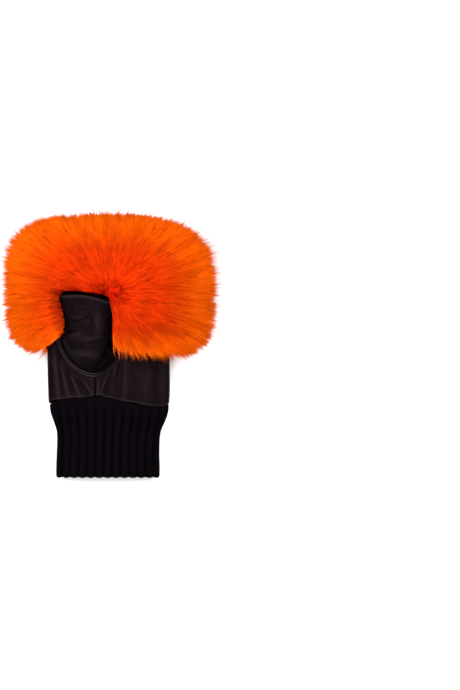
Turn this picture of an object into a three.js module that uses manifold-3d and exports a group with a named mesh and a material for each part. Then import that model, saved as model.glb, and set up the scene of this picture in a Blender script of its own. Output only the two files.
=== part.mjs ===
// A left-hand fingerless glove that lies on its back, palm up: a ribbed knit cuff, a leather hand with an
// open leather thumb, and a band of deep faux fur round the finger end. Millimetres. +Z is up, out of the
// palm, +Y points to the fingers and +X to the little finger. The origin is at the middle of the bottom of
// the glove's box.
import * as THREE from "three";
import Module from "manifold-3d";
import { mergeVertices } from "three/addons/utils/BufferGeometryUtils.js";

const wasm = await Module();
wasm.setup();
THREE.MathUtils.seededRandom(7);

const LEATHER_WALL = 1.3;
const FIT_GAP = 0.35; // between pieces that are sewn to each other
const SLEEVE_WALL = 2; // the fur's woven backing
const OVAL_POWER = 2.4; // 2 is an ellipse, and more is squarer
const OVAL_SAMPLES = 720;

// Leather hand: outer sections from the knit seam to the finger end
const HAND_SECTIONS = [
  { y: -60, x: -1.2, z: 10.6, halfWidth: 50.6, halfHeight: 9.4 },
  { y: -40, x: -1.3, z: 13.4, halfWidth: 51.9, halfHeight: 10.0 },
  { y: -20, x: -1.4, z: 18.6, halfWidth: 52.1, halfHeight: 10.4 },
  { y: 0, x: -1.5, z: 24.4, halfWidth: 52.1, halfHeight: 10.6 },
  { y: 20, x: -1.4, z: 28.4, halfWidth: 51.7, halfHeight: 10.6 },
  { y: 45, x: -1.3, z: 29.8, halfWidth: 50.6, halfHeight: 10.5 },
  { y: 70, x: -1.2, z: 29.8, halfWidth: 49.6, halfHeight: 10.2 },
  { y: 89, x: -1.2, z: 29.6, halfWidth: 49.0, halfHeight: 9.8 },
];
const FINGER_END = 89;
const HAND_COUNT = 48; // points round the hand
const HAND_SHARES = {
  outer: [0, 0.05, 0.15, 0.25, 0.36, 0.48, 0.62, 0.8, 1],
  inner: [1, 0.62, 0.36, 0.15, 0],
};

// Lower edge of the leather over the knit, on the palm. The back's edge is straight.
const PALM_HEM = [
  { x: -53, y: -47.4 },
  { x: -27, y: -45.2 },
  { x: -8, y: -43.4 },
  { x: -3, y: -45.4 },
  { x: 15, y: -48.9 },
  { x: 37, y: -52.6 },
  { x: 51, y: -52.9 },
];
const BACK_HEM_Y = -50;
const HEM_BLEND = 5; // height above the sides over which one edge turns into the other

// Soft folds of the palm: each runs from one end to the other and swells the leather by its height
const PALM_FOLDS = [
  { fromX: -48, fromY: -2, toX: -44, toY: -42, width: 3.2, height: 0.9 },
  { fromX: -41, fromY: -8, toX: -33, toY: -40, width: 3.0, height: 0.8 },
  { fromX: -30, fromY: -30, toX: -14, toY: -42, width: 2.6, height: 0.8 },
  { fromX: 6, fromY: -2, toX: 5, toY: -40, width: 3.0, height: -0.8 },
  { fromX: 20, fromY: -10, toX: 17, toY: -46, width: 5.0, height: 0.7 },
  { fromX: 40, fromY: -12, toX: 39, toY: -50, width: 4.0, height: 0.7 },
];
const TALLEST_FOLD = 0.9;
const FOLDS_END_Y = 5;

// Knit cuff: crest sections from the wrist edge to under the leather
const CUFF_SECTIONS = [
  { y: -113.5, x: -2.3, z: 8.4, halfWidth: 43.2, halfHeight: 7.9, ribHeight: 0.9 },
  { y: -111.5, x: -2.3, z: 8.6, halfWidth: 44.4, halfHeight: 8.6, ribHeight: 1.4 },
  { y: -92, x: -2.2, z: 8.6, halfWidth: 44.0, halfHeight: 8.6, ribHeight: 1.5 },
  { y: -76, x: -1.6, z: 8.6, halfWidth: 44.3, halfHeight: 8.6, ribHeight: 1.5 },
  { y: -64, x: -1.0, z: 9.2, halfWidth: 47.2, halfHeight: 8.5, ribHeight: 1.3 },
  { y: -56, x: -1.0, z: 10.8, halfWidth: 48.2, halfHeight: 7.7, ribHeight: 0.9 },
  { y: -41, x: -1.3, z: 13.2, halfWidth: 48.6, halfHeight: 7.5, ribHeight: 0.4 },
];
const RIB_COUNT = 24;
const RIB_PROFILE = [0, 0.8, 1, 1, 0.8]; // from furrow to crest and back
const CUFF_WALL = 3.4;
const CUFF_SCALLOP = 0.9; // how far the furrows stay short of the wrist edge

// Thumb: where its front and back walls run, seen from the side, with its middle and half width
const THUMB_SECTIONS = [
  { frontY: -18.5, frontZ: 35.5, backY: 26.4, backZ: 41.2, x: -19.6, halfWidth: 20.6, arch: 0 },
  { frontY: -9, frontZ: 44.5, backY: 28.6, backZ: 41.7, x: -19.2, halfWidth: 20.5, arch: 0.5 },
  { frontY: 4, frontZ: 51.5, backY: 31.6, backZ: 42.2, x: -18.7, halfWidth: 19.6, arch: 1.5 },
  { frontY: 15, frontZ: 54.6, backY: 34.8, backZ: 42.8, x: -18.8, halfWidth: 20.4, arch: 2.6 },
  { frontY: 26, frontZ: 58.5, backY: 37.4, backZ: 43.4, x: -19.2, halfWidth: 21.6, arch: 3.8 },
  { frontY: 36.4, frontZ: 60.5, backY: 40.4, backZ: 44.0, x: -19.3, halfWidth: 22.0, arch: 5.0 },
];
const THUMB_COUNT = 28; // points round the thumb
const PAST_MOUTH = { frontY: 50, frontZ: 62, backY: 53, backZ: 44.5, x: -19.3, halfWidth: 21.5, arch: 5.0 };
const THUMB_TIP_SLOPE = -0.15; // the tip's edge falls towards the little finger
const THUMB_HOLE = { x: -19.6, y: 0.8, halfWidth: 20.8, halfLength: 23.8, shear: -0.27, cut: 6 };
const WELT = { reach: 2.2, height: 1.7, taper: 0.9 };

// Fur: the outline of the pile seen from the palm, by quadrants of a rounded rectangle
const FUR_OUTLINE = { x: 0, y: 51.8, halfWidth: 89.5 };
const FUR_QUADRANTS = [
  { halfHeight: 62, power: 2.5 },
  { halfHeight: 62, power: 3.0 },
  { halfHeight: 60, power: 4.4 },
  { halfHeight: 63.6, power: 4.4 },
];
const SLEEVE = { x: -1.3, y: 50.8, halfWidth: 52.6, halfHeight: 38.2, power: 6 };
const PARTINGS = {
  palm: { x: 0.8, y: 42.5, crown: 73, rise: 1, firstRow: 0 },
  back: { x: 9.3, y: 61.0, crown: -7, rise: -1, firstRow: 3 }, // its middle is pressed flat underneath
};
const PILE_EDGE = {
  middle: 27, // its height at the sides, where the pile is widest
  above: 4, // its height over the leather at the two ends
  handX: [46, 62], // from over the hand to beside it
  wristY: [4, 20], // from over the bare leather to over the sleeve
  endY: [90, 104], // from over the sleeve to past the finger end
};
const TIPS = { leastShare: 0.17, crowding: 0.85, lowest: -3, blunt: 2.1, bluntAtEnds: 0.4, uneven: 0.06 };
const LOCK_BEND = { along: 0.35, climb: 0.75, lift: 3 };
const CORE = {
  count: 32,
  shares: [0.04, 0.25, 0.5, 0.75, 0.92, 1],
  reachAtParting: 0.68, // how far along the locks the closed mass of pile reaches
  reachAtRim: 0.8,
  lap: 5, // by which its palm half and back half overlap at the sides
};
const LOCK_SIDES = 3; // a ridge on the outside and two edges
const LOCK_FLATNESS = 0.6;
const LOCK_RINGS = [
  { along: 0.45, size: 1 },
  { along: 0.82, size: 0.75 },
];
const LOCK_TURN = 0.4; // how unevenly the locks of a row stand
const FUR_FINENESS = 1; // bumps of the pile lower than this are left out
const LOCK_ROWS = [
  { share: 0.15, count: 5, width: 10 },
  { share: 0.4, count: 10, width: 11 },
  { share: 0.66, count: 15, width: 11.5 },
  { share: 0.86, count: 20, width: 11.5 },
  { share: 0.96, count: 22, width: 11 },
  { share: 1.0, count: 30, width: 10 },
];

// The palm's outline of thumb and bare leather, which the fur stays out of
const BARE_PALM = [
  { x: -58, y: -10 },
  { x: -51, y: -2.5 },
  { x: -43.4, y: 5.4 },
  { x: -39.8, y: 10.4 },
  { x: -38.6, y: 17 },
  { x: -39.8, y: 26 },
  { x: -42.4, y: 34 },
  { x: -42.4, y: 42 },
  { x: -40, y: 51 },
  { x: -25, y: 53.5 },
  { x: -12, y: 51.5 },
  { x: 3, y: 42 },
  { x: 2.4, y: 25 },
  { x: 1.6, y: 8 },
  { x: 2.2, y: 1.5 },
  { x: 12, y: -2 },
  { x: 28, y: -5.6 },
  { x: 44, y: -7.6 },
  { x: 58, y: -10 },
  { x: 58, y: -60 },
  { x: -58, y: -60 },
];
const BARE_FROM = { besideMouth: 46, besideFoot: 26, footY: 24, top: 110 };
const CLEAR_ROWS = [-60, -40, -20, 0, 16.7, 36.2, 61.2, FINGER_END, 130];
const THUMB_GAP = { foot: 0.6, side: 1.4, below: -3 };
const GROUND = { size: 400, depth: 40 };

// Smooth interpolation of every column of a table, by its y
function rowAt(table, y) {
  const last = table.length - 1;
  let i = 0;
  while (i < last - 1 && table[i + 1].y < y) i += 1;
  const [a, b] = [table[i], table[i + 1]];
  const before = table[Math.max(i - 1, 0)];
  const after = table[Math.min(i + 2, last)];
  const t = THREE.MathUtils.clamp((y - a.y) / (b.y - a.y), 0, 1);
  const row = { y };
  for (const key of Object.keys(a)) {
    if (key === "y") continue;
    const slopeA = ((b[key] - before[key]) / (b.y - before.y)) * (b.y - a.y);
    const slopeB = ((after[key] - a[key]) / (after.y - a.y)) * (b.y - a.y);
    row[key] =
      a[key] * (2 * t ** 3 - 3 * t ** 2 + 1) +
      slopeA * (t ** 3 - 2 * t ** 2 + t) +
      b[key] * (3 * t ** 2 - 2 * t ** 3) +
      slopeB * (t ** 3 - t ** 2);
  }
  return row;
}

function smoothstep(from, to, value) {
  const t = THREE.MathUtils.clamp((value - from) / (to - from), 0, 1);
  return t * t * (3 - 2 * t);
}

// Evenly spaced points and outward directions round a flattened oval, counter-clockwise from the +X side
function evenOval(halfWidth, halfHeight, count) {
  const points = [];
  for (let i = 0; i <= OVAL_SAMPLES; i += 1) {
    const angle = (i / OVAL_SAMPLES) * 2 * Math.PI;
    const [c, s] = [Math.cos(angle), Math.sin(angle)];
    const k = (Math.abs(c) ** OVAL_POWER + Math.abs(s) ** OVAL_POWER) ** (-1 / OVAL_POWER);
    points.push(new THREE.Vector2(halfWidth * c * k, halfHeight * s * k));
  }
  const lengths = [0];
  for (let i = 1; i <= OVAL_SAMPLES; i += 1) {
    lengths.push(lengths[i - 1] + points[i].distanceTo(points[i - 1]));
  }
  const even = [];
  let j = 1;
  for (let i = 0; i < count; i += 1) {
    const wanted = (i / count) * lengths[OVAL_SAMPLES];
    while (lengths[j] < wanted) j += 1;
    const t = (wanted - lengths[j - 1]) / (lengths[j] - lengths[j - 1]);
    const along = points[j].clone().sub(points[j - 1]).normalize();
    even.push({
      point: points[j - 1].clone().lerp(points[j], t),
      outward: new THREE.Vector2(along.y, -along.x),
    });
  }
  return even;
}

// Height of the leather's outer surface: rise is 1 on the palm and -1 on the back
function leatherHeight(x, y, rise, grown = 0) {
  const row = rowAt(HAND_SECTIONS, THREE.MathUtils.clamp(y, HAND_SECTIONS[0].y, FINGER_END));
  const aside = Math.min(Math.abs(x - row.x) / (row.halfWidth + grown), 1);
  return row.z + rise * (row.halfHeight + grown) * (1 - aside ** OVAL_POWER) ** (1 / OVAL_POWER);
}

function foldHeight(x, y) {
  let height = 0;
  for (const fold of PALM_FOLDS) {
    const run = new THREE.Vector2(fold.toX - fold.fromX, fold.toY - fold.fromY);
    const offset = new THREE.Vector2(x - fold.fromX, y - fold.fromY);
    const along = THREE.MathUtils.clamp(offset.dot(run) / run.lengthSq(), 0, 1);
    const aside = offset.sub(run.multiplyScalar(along)).length();
    const fade = Math.sin(Math.PI * THREE.MathUtils.lerp(0.15, 0.85, along)); // less towards its ends
    height += fold.height * fade * Math.exp(-((aside / fold.width) ** 2));
  }
  return height;
}

function hemAt(x) {
  let i = 0;
  while (i < PALM_HEM.length - 2 && PALM_HEM[i + 1].x < x) i += 1;
  const [a, b] = [PALM_HEM[i], PALM_HEM[i + 1]];
  return THREE.MathUtils.lerp(a.y, b.y, smoothstep(a.x, b.x, x));
}

// Triangles between rings of the same count
function band(triangles, count, first, second) {
  for (let i = 0; i < count; i += 1) {
    const next = (i + 1) % count;
    triangles.push([first + i, first + next, second + i], [first + next, second + next, second + i]);
  }
}

// A closed solid through rings: a loop of them is a tube with a wall, and an open row ends in caps or a point
function solidThrough(rings, { loop = false, tip = null } = {}) {
  const count = rings[0].length;
  const vertices = rings.flat();
  const triangles = [];
  for (let i = 0; i + 1 < rings.length; i += 1) band(triangles, count, i * count, (i + 1) * count);
  const lastRing = (rings.length - 1) * count;
  if (loop) band(triangles, count, lastRing, 0);
  else {
    vertices.push(middleOf(rings[0]), tip ?? middleOf(rings.at(-1)));
    const [firstCentre, lastCentre] = [vertices.length - 2, vertices.length - 1];
    for (let i = 0; i < count; i += 1) {
      const next = (i + 1) % count;
      triangles.push([next, i, firstCentre], [lastRing + i, lastRing + next, lastCentre]);
    }
  }
  const volume = triangles.reduce(
    (sum, [a, b, c]) => sum + vertices[a].dot(new THREE.Vector3().crossVectors(vertices[b], vertices[c])),
    0,
  );
  if (volume < 0) triangles.forEach((t) => t.reverse());
  const geometry = new THREE.BufferGeometry().setFromPoints(vertices);
  geometry.setIndex(triangles.flat());
  return solidOf(geometry);
}

function middleOf(ring) {
  return ring.reduce((sum, p) => sum.add(p), new THREE.Vector3()).divideScalar(ring.length);
}

function solidOf(geometry) {
  const bare = geometry.clone();
  bare.deleteAttribute("normal");
  bare.deleteAttribute("uv");
  const merged = mergeVertices(bare, 1e-3);
  return new wasm.Manifold(
    new wasm.Mesh({
      numProp: 3,
      vertProperties: new Float32Array(merged.attributes.position.array),
      triVerts: new Uint32Array(merged.index.array),
    }),
  );
}

function meshOf(solid, name, material) {
  const { vertProperties, triVerts, numProp } = solid.getMesh();
  const positions = new Float32Array((vertProperties.length / numProp) * 3);
  for (let i = 0; i < positions.length / 3; i += 1) {
    positions.set(vertProperties.subarray(i * numProp, i * numProp + 3), i * 3);
  }
  const geometry = new THREE.BufferGeometry();
  geometry.setAttribute("position", new THREE.BufferAttribute(positions, 3));
  geometry.setIndex(new THREE.BufferAttribute(new Uint32Array(triVerts), 1));
  geometry.computeVertexNormals();
  const mesh = new THREE.Mesh(geometry, material);
  mesh.name = name;
  return mesh;
}

// Knit cuff: ribs raised on the outside, a plain inside, and a scalloped wrist edge
function cuffRing(row, inward) {
  const count = RIB_COUNT * RIB_PROFILE.length;
  return evenOval(row.halfWidth, row.halfHeight, count).map(({ point, outward }, i) => {
    const crest = RIB_PROFILE[i % RIB_PROFILE.length];
    const depth = inward ? CUFF_WALL : row.ribHeight * (1 - crest);
    const scallop = row === CUFF_SECTIONS[0] ? CUFF_SCALLOP * (1 - crest) : 0;
    return new THREE.Vector3(
      row.x + point.x - outward.x * depth,
      row.y + scallop,
      row.z + point.y - outward.y * depth,
    );
  });
}

function knitCuff() {
  const outer = CUFF_SECTIONS.map((row) => cuffRing(row, false));
  const insideRows = [CUFF_SECTIONS.at(-1), CUFF_SECTIONS.at(-3), CUFF_SECTIONS[1]];
  const inner = insideRows.map((row) => cuffRing(row, true));
  return solidThrough([...outer, ...inner], { loop: true });
}

// Leather hand: share 0 is the hem over the knit and share 1 the finger end
function handRing(share, inward) {
  const grown = inward ? -LEATHER_WALL : 0;
  const middle = rowAt(HAND_SECTIONS, THREE.MathUtils.lerp(BACK_HEM_Y, FINGER_END, share));
  const ring = [];
  for (let i = 0; i < HAND_COUNT; i += 1) {
    const side = evenOval(middle.halfWidth, middle.halfHeight, HAND_COUNT)[i];
    const onPalm = side.point.y > 0;
    const hem = onPalm ? hemAt(middle.x + side.point.x) : BACK_HEM_Y;
    const edge = THREE.MathUtils.lerp(BACK_HEM_Y, hem, smoothstep(0, HEM_BLEND, side.point.y));
    const y = THREE.MathUtils.lerp(edge, FINGER_END, share);
    const row = rowAt(HAND_SECTIONS, y);
    const at = evenOval(row.halfWidth, row.halfHeight, HAND_COUNT)[i];
    const swell = onPalm ? foldHeight(row.x + at.point.x, y) * smoothstep(0, HEM_BLEND, at.point.y) : 0;
    ring.push(
      new THREE.Vector3(
        row.x + at.point.x + at.outward.x * (grown + swell),
        y,
        row.z + at.point.y + at.outward.y * (grown + swell),
      ),
    );
  }
  return ring;
}

function leatherBody() {
  const outer = HAND_SHARES.outer.map((share) => handRing(share, false));
  const inner = HAND_SHARES.inner.map((share) => handRing(share, true));
  const hole = solidThrough([footRing(0, -THUMB_HOLE.cut), footRing(0, THUMB_HOLE.cut)]);
  return solidThrough([...outer, ...inner], { loop: true }).subtract(hole);
}

// Thumb: its foot stands in the palm's hole, with a welt round it, and its tube leans towards the fingers
function footRing(grown, height) {
  const ring = [];
  for (let i = 0; i < THUMB_COUNT; i += 1) {
    const angle = (i / THUMB_COUNT) * 2 * Math.PI;
    const along = (THUMB_HOLE.halfLength + grown) * Math.sin(angle);
    const aside = (THUMB_HOLE.halfWidth + grown) * Math.cos(angle) + THUMB_HOLE.shear * along;
    const [x, y] = [THUMB_HOLE.x + aside, THUMB_HOLE.y + along];
    ring.push(new THREE.Vector3(x, y, leatherHeight(x, y, 1) + height));
  }
  return ring;
}

function thumbRing(row, grown) {
  const ring = [];
  const middleY = (row.frontY + row.backY) / 2;
  const middleZ = (row.frontZ + row.backZ) / 2;
  const across = new THREE.Vector2(row.backY - row.frontY, row.backZ - row.frontZ);
  const half = across.length() / 2 + grown;
  across.normalize();
  const late = row.arch / THUMB_SECTIONS.at(-1).arch;
  for (let i = 0; i < THUMB_COUNT; i += 1) {
    const angle = (i / THUMB_COUNT) * 2 * Math.PI;
    const x = (row.halfWidth + grown) * Math.cos(angle);
    const along = half * Math.sin(angle);
    const skew = THUMB_HOLE.shear * across.x * along * (1 - late);
    const lift = row.arch * (1 - Math.cos(angle) ** 2) + THUMB_TIP_SLOPE * x * late;
    const [y, z] = [middleY + across.x * along + lift, middleZ + across.y * along];
    ring.push(new THREE.Vector3(row.x + x + skew, y, z));
  }
  return ring;
}

function thumbStub() {
  const outer = [
    footRing(-FIT_GAP, -LEATHER_WALL),
    footRing(-FIT_GAP, FIT_GAP),
    footRing(WELT.reach, FIT_GAP),
    footRing(WELT.reach * WELT.taper, WELT.height),
    footRing(FIT_GAP, WELT.height * WELT.taper),
    ...THUMB_SECTIONS.map((row) => thumbRing(row, 0)),
  ];
  const inner = [
    ...THUMB_SECTIONS.map((row) => thumbRing(row, -LEATHER_WALL)).reverse(),
    footRing(-FIT_GAP - LEATHER_WALL, -LEATHER_WALL),
  ];
  return solidThrough([...outer, ...inner], { loop: true });
}

// Fur: where the pile ends and where it is rooted, for an angle round the parting
function outlineEdge(angle) {
  const quadrant = FUR_QUADRANTS[Math.floor(((angle / (2 * Math.PI)) % 1) * 4) % 4];
  return edgeOf(FUR_OUTLINE, FUR_OUTLINE.halfWidth, quadrant.halfHeight, quadrant.power, angle);
}

function sleeveEdge(angle) {
  return edgeOf(SLEEVE, SLEEVE.halfWidth, SLEEVE.halfHeight, SLEEVE.power, angle);
}

function edgeOf(centre, halfWidth, halfHeight, power, angle) {
  const [c, s] = [Math.cos(angle), Math.sin(angle)];
  const reach = ((Math.abs(c) / halfWidth) ** power + (Math.abs(s) / halfHeight) ** power) ** (-1 / power);
  return new THREE.Vector2(centre.x + reach * c, centre.y + reach * s);
}

// Height at which the pile's edge stands: half way up at the sides, and close to the leather at the two ends
function edgeHeight(tip, rise) {
  const overHand = 1 - smoothstep(...PILE_EDGE.handX, Math.abs(tip.x));
  const atWrist = 1 - smoothstep(...PILE_EDGE.wristY, tip.y);
  const atEnd = smoothstep(...PILE_EDGE.endY, tip.y);
  const near = leatherHeight(tip.x, tip.y, rise) + rise * PILE_EDGE.above;
  return THREE.MathUtils.lerp(PILE_EDGE.middle, near, overHand * Math.max(atWrist, atEnd));
}

// A lock's line: from its root on the sleeve, standing up first and then combed outwards, to its tip
function lockLine(parting, angle, share, length) {
  const centre = new THREE.Vector2(parting.x, parting.y);
  const root = centre.clone().lerp(sleeveEdge(angle), share);
  const reach = THREE.MathUtils.lerp(TIPS.leastShare, 1, share ** TIPS.crowding) * length;
  const tip = centre.clone().lerp(outlineEdge(angle), reach);
  const blunt = TIPS.blunt + TIPS.bluntAtEnds * smoothstep(0.2, 0.9, Math.abs(Math.sin(angle)));
  const edge = edgeHeight(tip, parting.rise);
  const tipZ = edge + (parting.crown - edge) * Math.max(1 - share ** blunt, 0) ** (1 / blunt);
  const rootZ = leatherHeight(root.x, root.y, parting.rise, FIT_GAP);
  const start = new THREE.Vector3(root.x, root.y, rootZ);
  const end = new THREE.Vector3(tip.x, tip.y, Math.max(tipZ, TIPS.lowest));
  const bend = start.clone().lerp(end, LOCK_BEND.along);
  bend.z = THREE.MathUtils.lerp(start.z, end.z, LOCK_BEND.climb) + LOCK_BEND.lift * parting.rise;
  return new THREE.QuadraticBezierCurve3(start, bend, end);
}

function lockSolid(line, width) {
  const rings = LOCK_RINGS.map(({ along, size }) => {
    const at = line.getPoint(along);
    const ahead = line.getTangent(along);
    const across = new THREE.Vector3(0, 0, 1).cross(ahead).normalize();
    const up = ahead.clone().cross(across);
    const ring = [];
    for (let i = 0; i < LOCK_SIDES; i += 1) {
      const angle = (i / LOCK_SIDES + 0.25) * 2 * Math.PI;
      const aside = across.clone().multiplyScalar(width * size * Math.cos(angle));
      ring.push(at.clone().add(aside).addScaledVector(up, width * size * LOCK_FLATNESS * Math.sin(angle)));
    }
    return ring;
  });
  return solidThrough(rings, { tip: line.getPoint(1) });
}

function coreSolid(parting) {
  const rings = CORE.shares.map((share) => {
    const reach = THREE.MathUtils.lerp(CORE.reachAtParting, CORE.reachAtRim, share);
    const ring = [];
    for (let i = 0; i < CORE.count; i += 1) {
      ring.push(lockLine(parting, (i / CORE.count) * 2 * Math.PI, share, 1).getPoint(reach));
    }
    return ring;
  });
  rings.push(rings.at(-1).map((p) => new THREE.Vector3(p.x, p.y, p.z - CORE.lap * parting.rise)));
  return solidThrough(rings);
}

function furTrim() {
  const solids = [];
  for (const parting of Object.values(PARTINGS)) {
    solids.push(coreSolid(parting));
    LOCK_ROWS.slice(parting.firstRow).forEach((row, index) => {
      for (let i = 0; i < row.count; i += 1) {
        const turn = i + 0.5 * (index % 2) + LOCK_TURN * (THREE.MathUtils.seededRandom() - 0.5);
        const angle = ((turn / row.count + 1) % 1) * 2 * Math.PI;
        const length = 1 - TIPS.uneven * THREE.MathUtils.seededRandom();
        solids.push(lockSolid(lockLine(parting, angle, row.share, length), row.width));
      }
    });
  }
  const sleeveRows = [SLEEVE.y - SLEEVE.halfHeight, SLEEVE.y, FINGER_END];
  solids.push(solidThrough(sleeveRows.map((y) => clearRing(y, FIT_GAP + SLEEVE_WALL))));

  const besideFoot = BARE_PALM.filter((p) => p.y < BARE_FROM.footY);
  const ground = new THREE.BoxGeometry(GROUND.size, GROUND.size, GROUND.depth);
  ground.translate(0, 0, -GROUND.depth / 2);
  const fur = wasm.Manifold.union(solids)
    .simplify(FUR_FINENESS)
    .subtract(solidThrough(CLEAR_ROWS.map((y) => clearRing(y, FIT_GAP))))
    .subtract(thumbClearance())
    .subtract(prism(BARE_PALM, BARE_FROM.besideMouth, BARE_FROM.top))
    .subtract(prism(besideFoot, BARE_FROM.besideFoot, BARE_FROM.top))
    .subtract(solidOf(ground));
  return fur.decompose().sort((a, b) => b.volume() - a.volume())[0];
}

// The hand's outer section, grown by a clearance, and past the finger end the mouth that the fur leaves open
function clearRing(y, grown) {
  const row = rowAt(HAND_SECTIONS, Math.min(y, FINGER_END));
  const folds = y < FOLDS_END_Y ? TALLEST_FOLD : 0;
  return evenOval(row.halfWidth + grown, row.halfHeight + grown + folds, HAND_COUNT).map(
    ({ point }) => new THREE.Vector3(row.x + point.x, y, row.z + point.y),
  );
}

// The thumb and its welt, grown by a clearance and run on past the mouth
function thumbClearance() {
  const { foot, side, below } = THUMB_GAP;
  const tube = [...THUMB_SECTIONS, PAST_MOUTH].map((row) => thumbRing(row, side));
  return wasm.Manifold.union(
    solidThrough([footRing(WELT.reach + foot, below), footRing(WELT.reach + foot, WELT.height + foot)]),
    solidThrough([footRing(side, below), ...tube]),
  );
}

function prism(outline, low, high) {
  const shape = new THREE.Shape(outline.map((p) => new THREE.Vector2(p.x, p.y)));
  const geometry = new THREE.ExtrudeGeometry(shape, { depth: high - low, bevelEnabled: false });
  return solidOf(geometry.translate(0, 0, low));
}

const knit = new THREE.MeshStandardMaterial({ color: 0x0d0b0e, roughness: 0.95, metalness: 0 });
const leather = new THREE.MeshStandardMaterial({ color: 0x1e1718, roughness: 0.5, metalness: 0 });
const fur = new THREE.MeshStandardMaterial({ color: 0xfb5a04, roughness: 0.8, metalness: 0 });

const glove = new THREE.Group();
glove.add(meshOf(knitCuff(), "knit_cuff", knit));
glove.add(meshOf(leatherBody(), "leather_body", leather));
glove.add(meshOf(thumbStub(), "thumb_stub", leather));
glove.add(meshOf(furTrim(), "fur_trim", fur));

export default glove;
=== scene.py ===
"""A fingerless glove that lies palm up: rib knit cuff, soft leather hand and thumb, and a deep faux fur band.

The sidebar panel lists one operator for each piece of the glove and one for the stage.
"""

import math

import bmesh
import bpy
import numpy as np
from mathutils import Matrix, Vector, noise


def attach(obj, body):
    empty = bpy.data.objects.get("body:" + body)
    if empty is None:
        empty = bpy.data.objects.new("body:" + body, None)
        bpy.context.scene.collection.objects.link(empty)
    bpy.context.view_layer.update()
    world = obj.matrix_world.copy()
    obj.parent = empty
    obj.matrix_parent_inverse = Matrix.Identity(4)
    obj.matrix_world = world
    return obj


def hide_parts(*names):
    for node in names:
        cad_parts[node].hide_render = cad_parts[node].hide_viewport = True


bl_info = {
    "name": "Faux Fur Fingerless Glove",
    "version": (1, 0, 0),
    "blender": (4, 5, 0),
    "location": "View3D > Sidebar > Glove",
    "description": "Models a fingerless glove with a knit cuff, a leather hand and a faux fur band",
    "category": "Object",
}

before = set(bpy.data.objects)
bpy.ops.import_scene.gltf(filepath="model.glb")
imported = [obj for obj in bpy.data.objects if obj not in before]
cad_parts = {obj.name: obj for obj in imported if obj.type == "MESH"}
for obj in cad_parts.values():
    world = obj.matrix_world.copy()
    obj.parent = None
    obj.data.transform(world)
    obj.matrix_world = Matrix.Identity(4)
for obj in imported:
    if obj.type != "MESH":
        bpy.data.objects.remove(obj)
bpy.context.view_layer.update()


def table(keys, *rows):
    """Rows of values by the names of their columns."""
    return [dict(zip(keys, row, strict=True)) for row in rows]


MM = 0.001
TURN = 2 * math.pi
OVAL_POWER = 2.4  # 2 is an ellipse, and more is squarer
OVAL_SAMPLES = 720

# Outer sections of the leather hand and of the knit, in mm, along the glove
HAND_SECTIONS = table(
    ("y", "x", "z", "width", "height"),
    (-60, -1.2, 10.6, 50.6, 9.4),
    (-40, -1.3, 13.4, 51.9, 10.0),
    (-20, -1.4, 18.6, 52.1, 10.4),
    (0, -1.5, 24.4, 52.1, 10.6),
    (20, -1.4, 28.4, 51.7, 10.6),
    (45, -1.3, 29.8, 50.6, 10.5),
    (70, -1.2, 29.8, 49.6, 10.2),
    (89, -1.2, 29.6, 49.0, 9.8),
)
CUFF_SECTIONS = table(
    ("y", "x", "z", "width", "height"),
    (-113.5, -2.3, 8.4, 43.2, 7.9),
    (-111.5, -2.3, 8.6, 44.4, 8.6),
    (-92, -2.2, 8.6, 44.0, 8.6),
    (-76, -1.6, 8.6, 44.3, 8.6),
    (-64, -1.0, 9.2, 47.2, 8.5),
    (-56, -1.0, 10.8, 48.2, 7.7),
    (-41, -1.3, 13.2, 48.6, 7.5),
)
FINGER_END = 89
BACK_HEM = -50
HEM_BLEND = 5  # height above the sides over which the palm's hem turns into the back's
PALM_HEM = table(
    ("x", "y"),
    (-53, -47.4),
    (-27, -45.2),
    (-8, -43.4),
    (-3, -45.4),
    (15, -48.9),
    (37, -52.6),
    (51, -52.9),
)

# Painted shade and highlight: the attribute relief darkens the leather in folds and lightens it on crests
FLAT = 0.5  # the value of the attribute "relief" on flat leather: less in folds, more on crests
PLAIN_EDGE = 5  # how many mm from a hem the leather's folds fade away
CREASE_WAVE = {"start": 0.15, "run": 0.7}  # the part of half a wave that a crease's height follows

# Creases of the leather, in plan: each swells or sinks it along its line
# Their lift also paints highlight on the leather where it swells and shade where it sinks
PALM_CREASES = table(
    ("x0", "y0", "x1", "y1", "width", "height"),
    (-48, -2, -44, -46, 1.9, 1.0),
    (-45, -4, -40, -44, 1.3, -0.8),
    (-43, -12, -36, -43, 1.7, 1.0),
    (-38, -20, -32, -42, 1.2, -0.7),
    (-33, -26, -26, -43, 1.5, 1.0),
    (-29, -28, -19, -43, 1.2, -0.8),
    (-24, -29, -15.5, -41, 1.3, 0.9),
    (-9, -28, -11.5, -42, 1.1, 0.7),
    (-1, -24, -9, -42, 1.5, 1.0),
    (1.5, -20, -4.5, -40, 1.3, -0.8),
    (5.5, 2, 2, -14, 2.4, -2.0),
    (9, -3, 3, -24, 2.8, 0.9),
    (9, -8, 6, -44, 2.4, -0.5),
    (14, -4, 12, -46, 3.0, 0.45),
    (24, -8, 21, -48, 4.0, -0.3),
    (33, -14, 31, -51, 3.6, 0.3),
    (41, -12, 40, -52, 3.0, -0.3),
    (46, -12, 45, -52, 2.6, 0.35),
)
BACK_CREASES = table(
    ("x0", "y0", "x1", "y1", "width", "height"),
    (-30, 10, -34, -48, 4.0, 0.7),
    (-8, 6, -10, -48, 3.0, -0.6),
    (16, 8, 20, -48, 4.0, 0.6),
    (36, 0, 34, -46, 2.4, -0.5),
)
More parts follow.
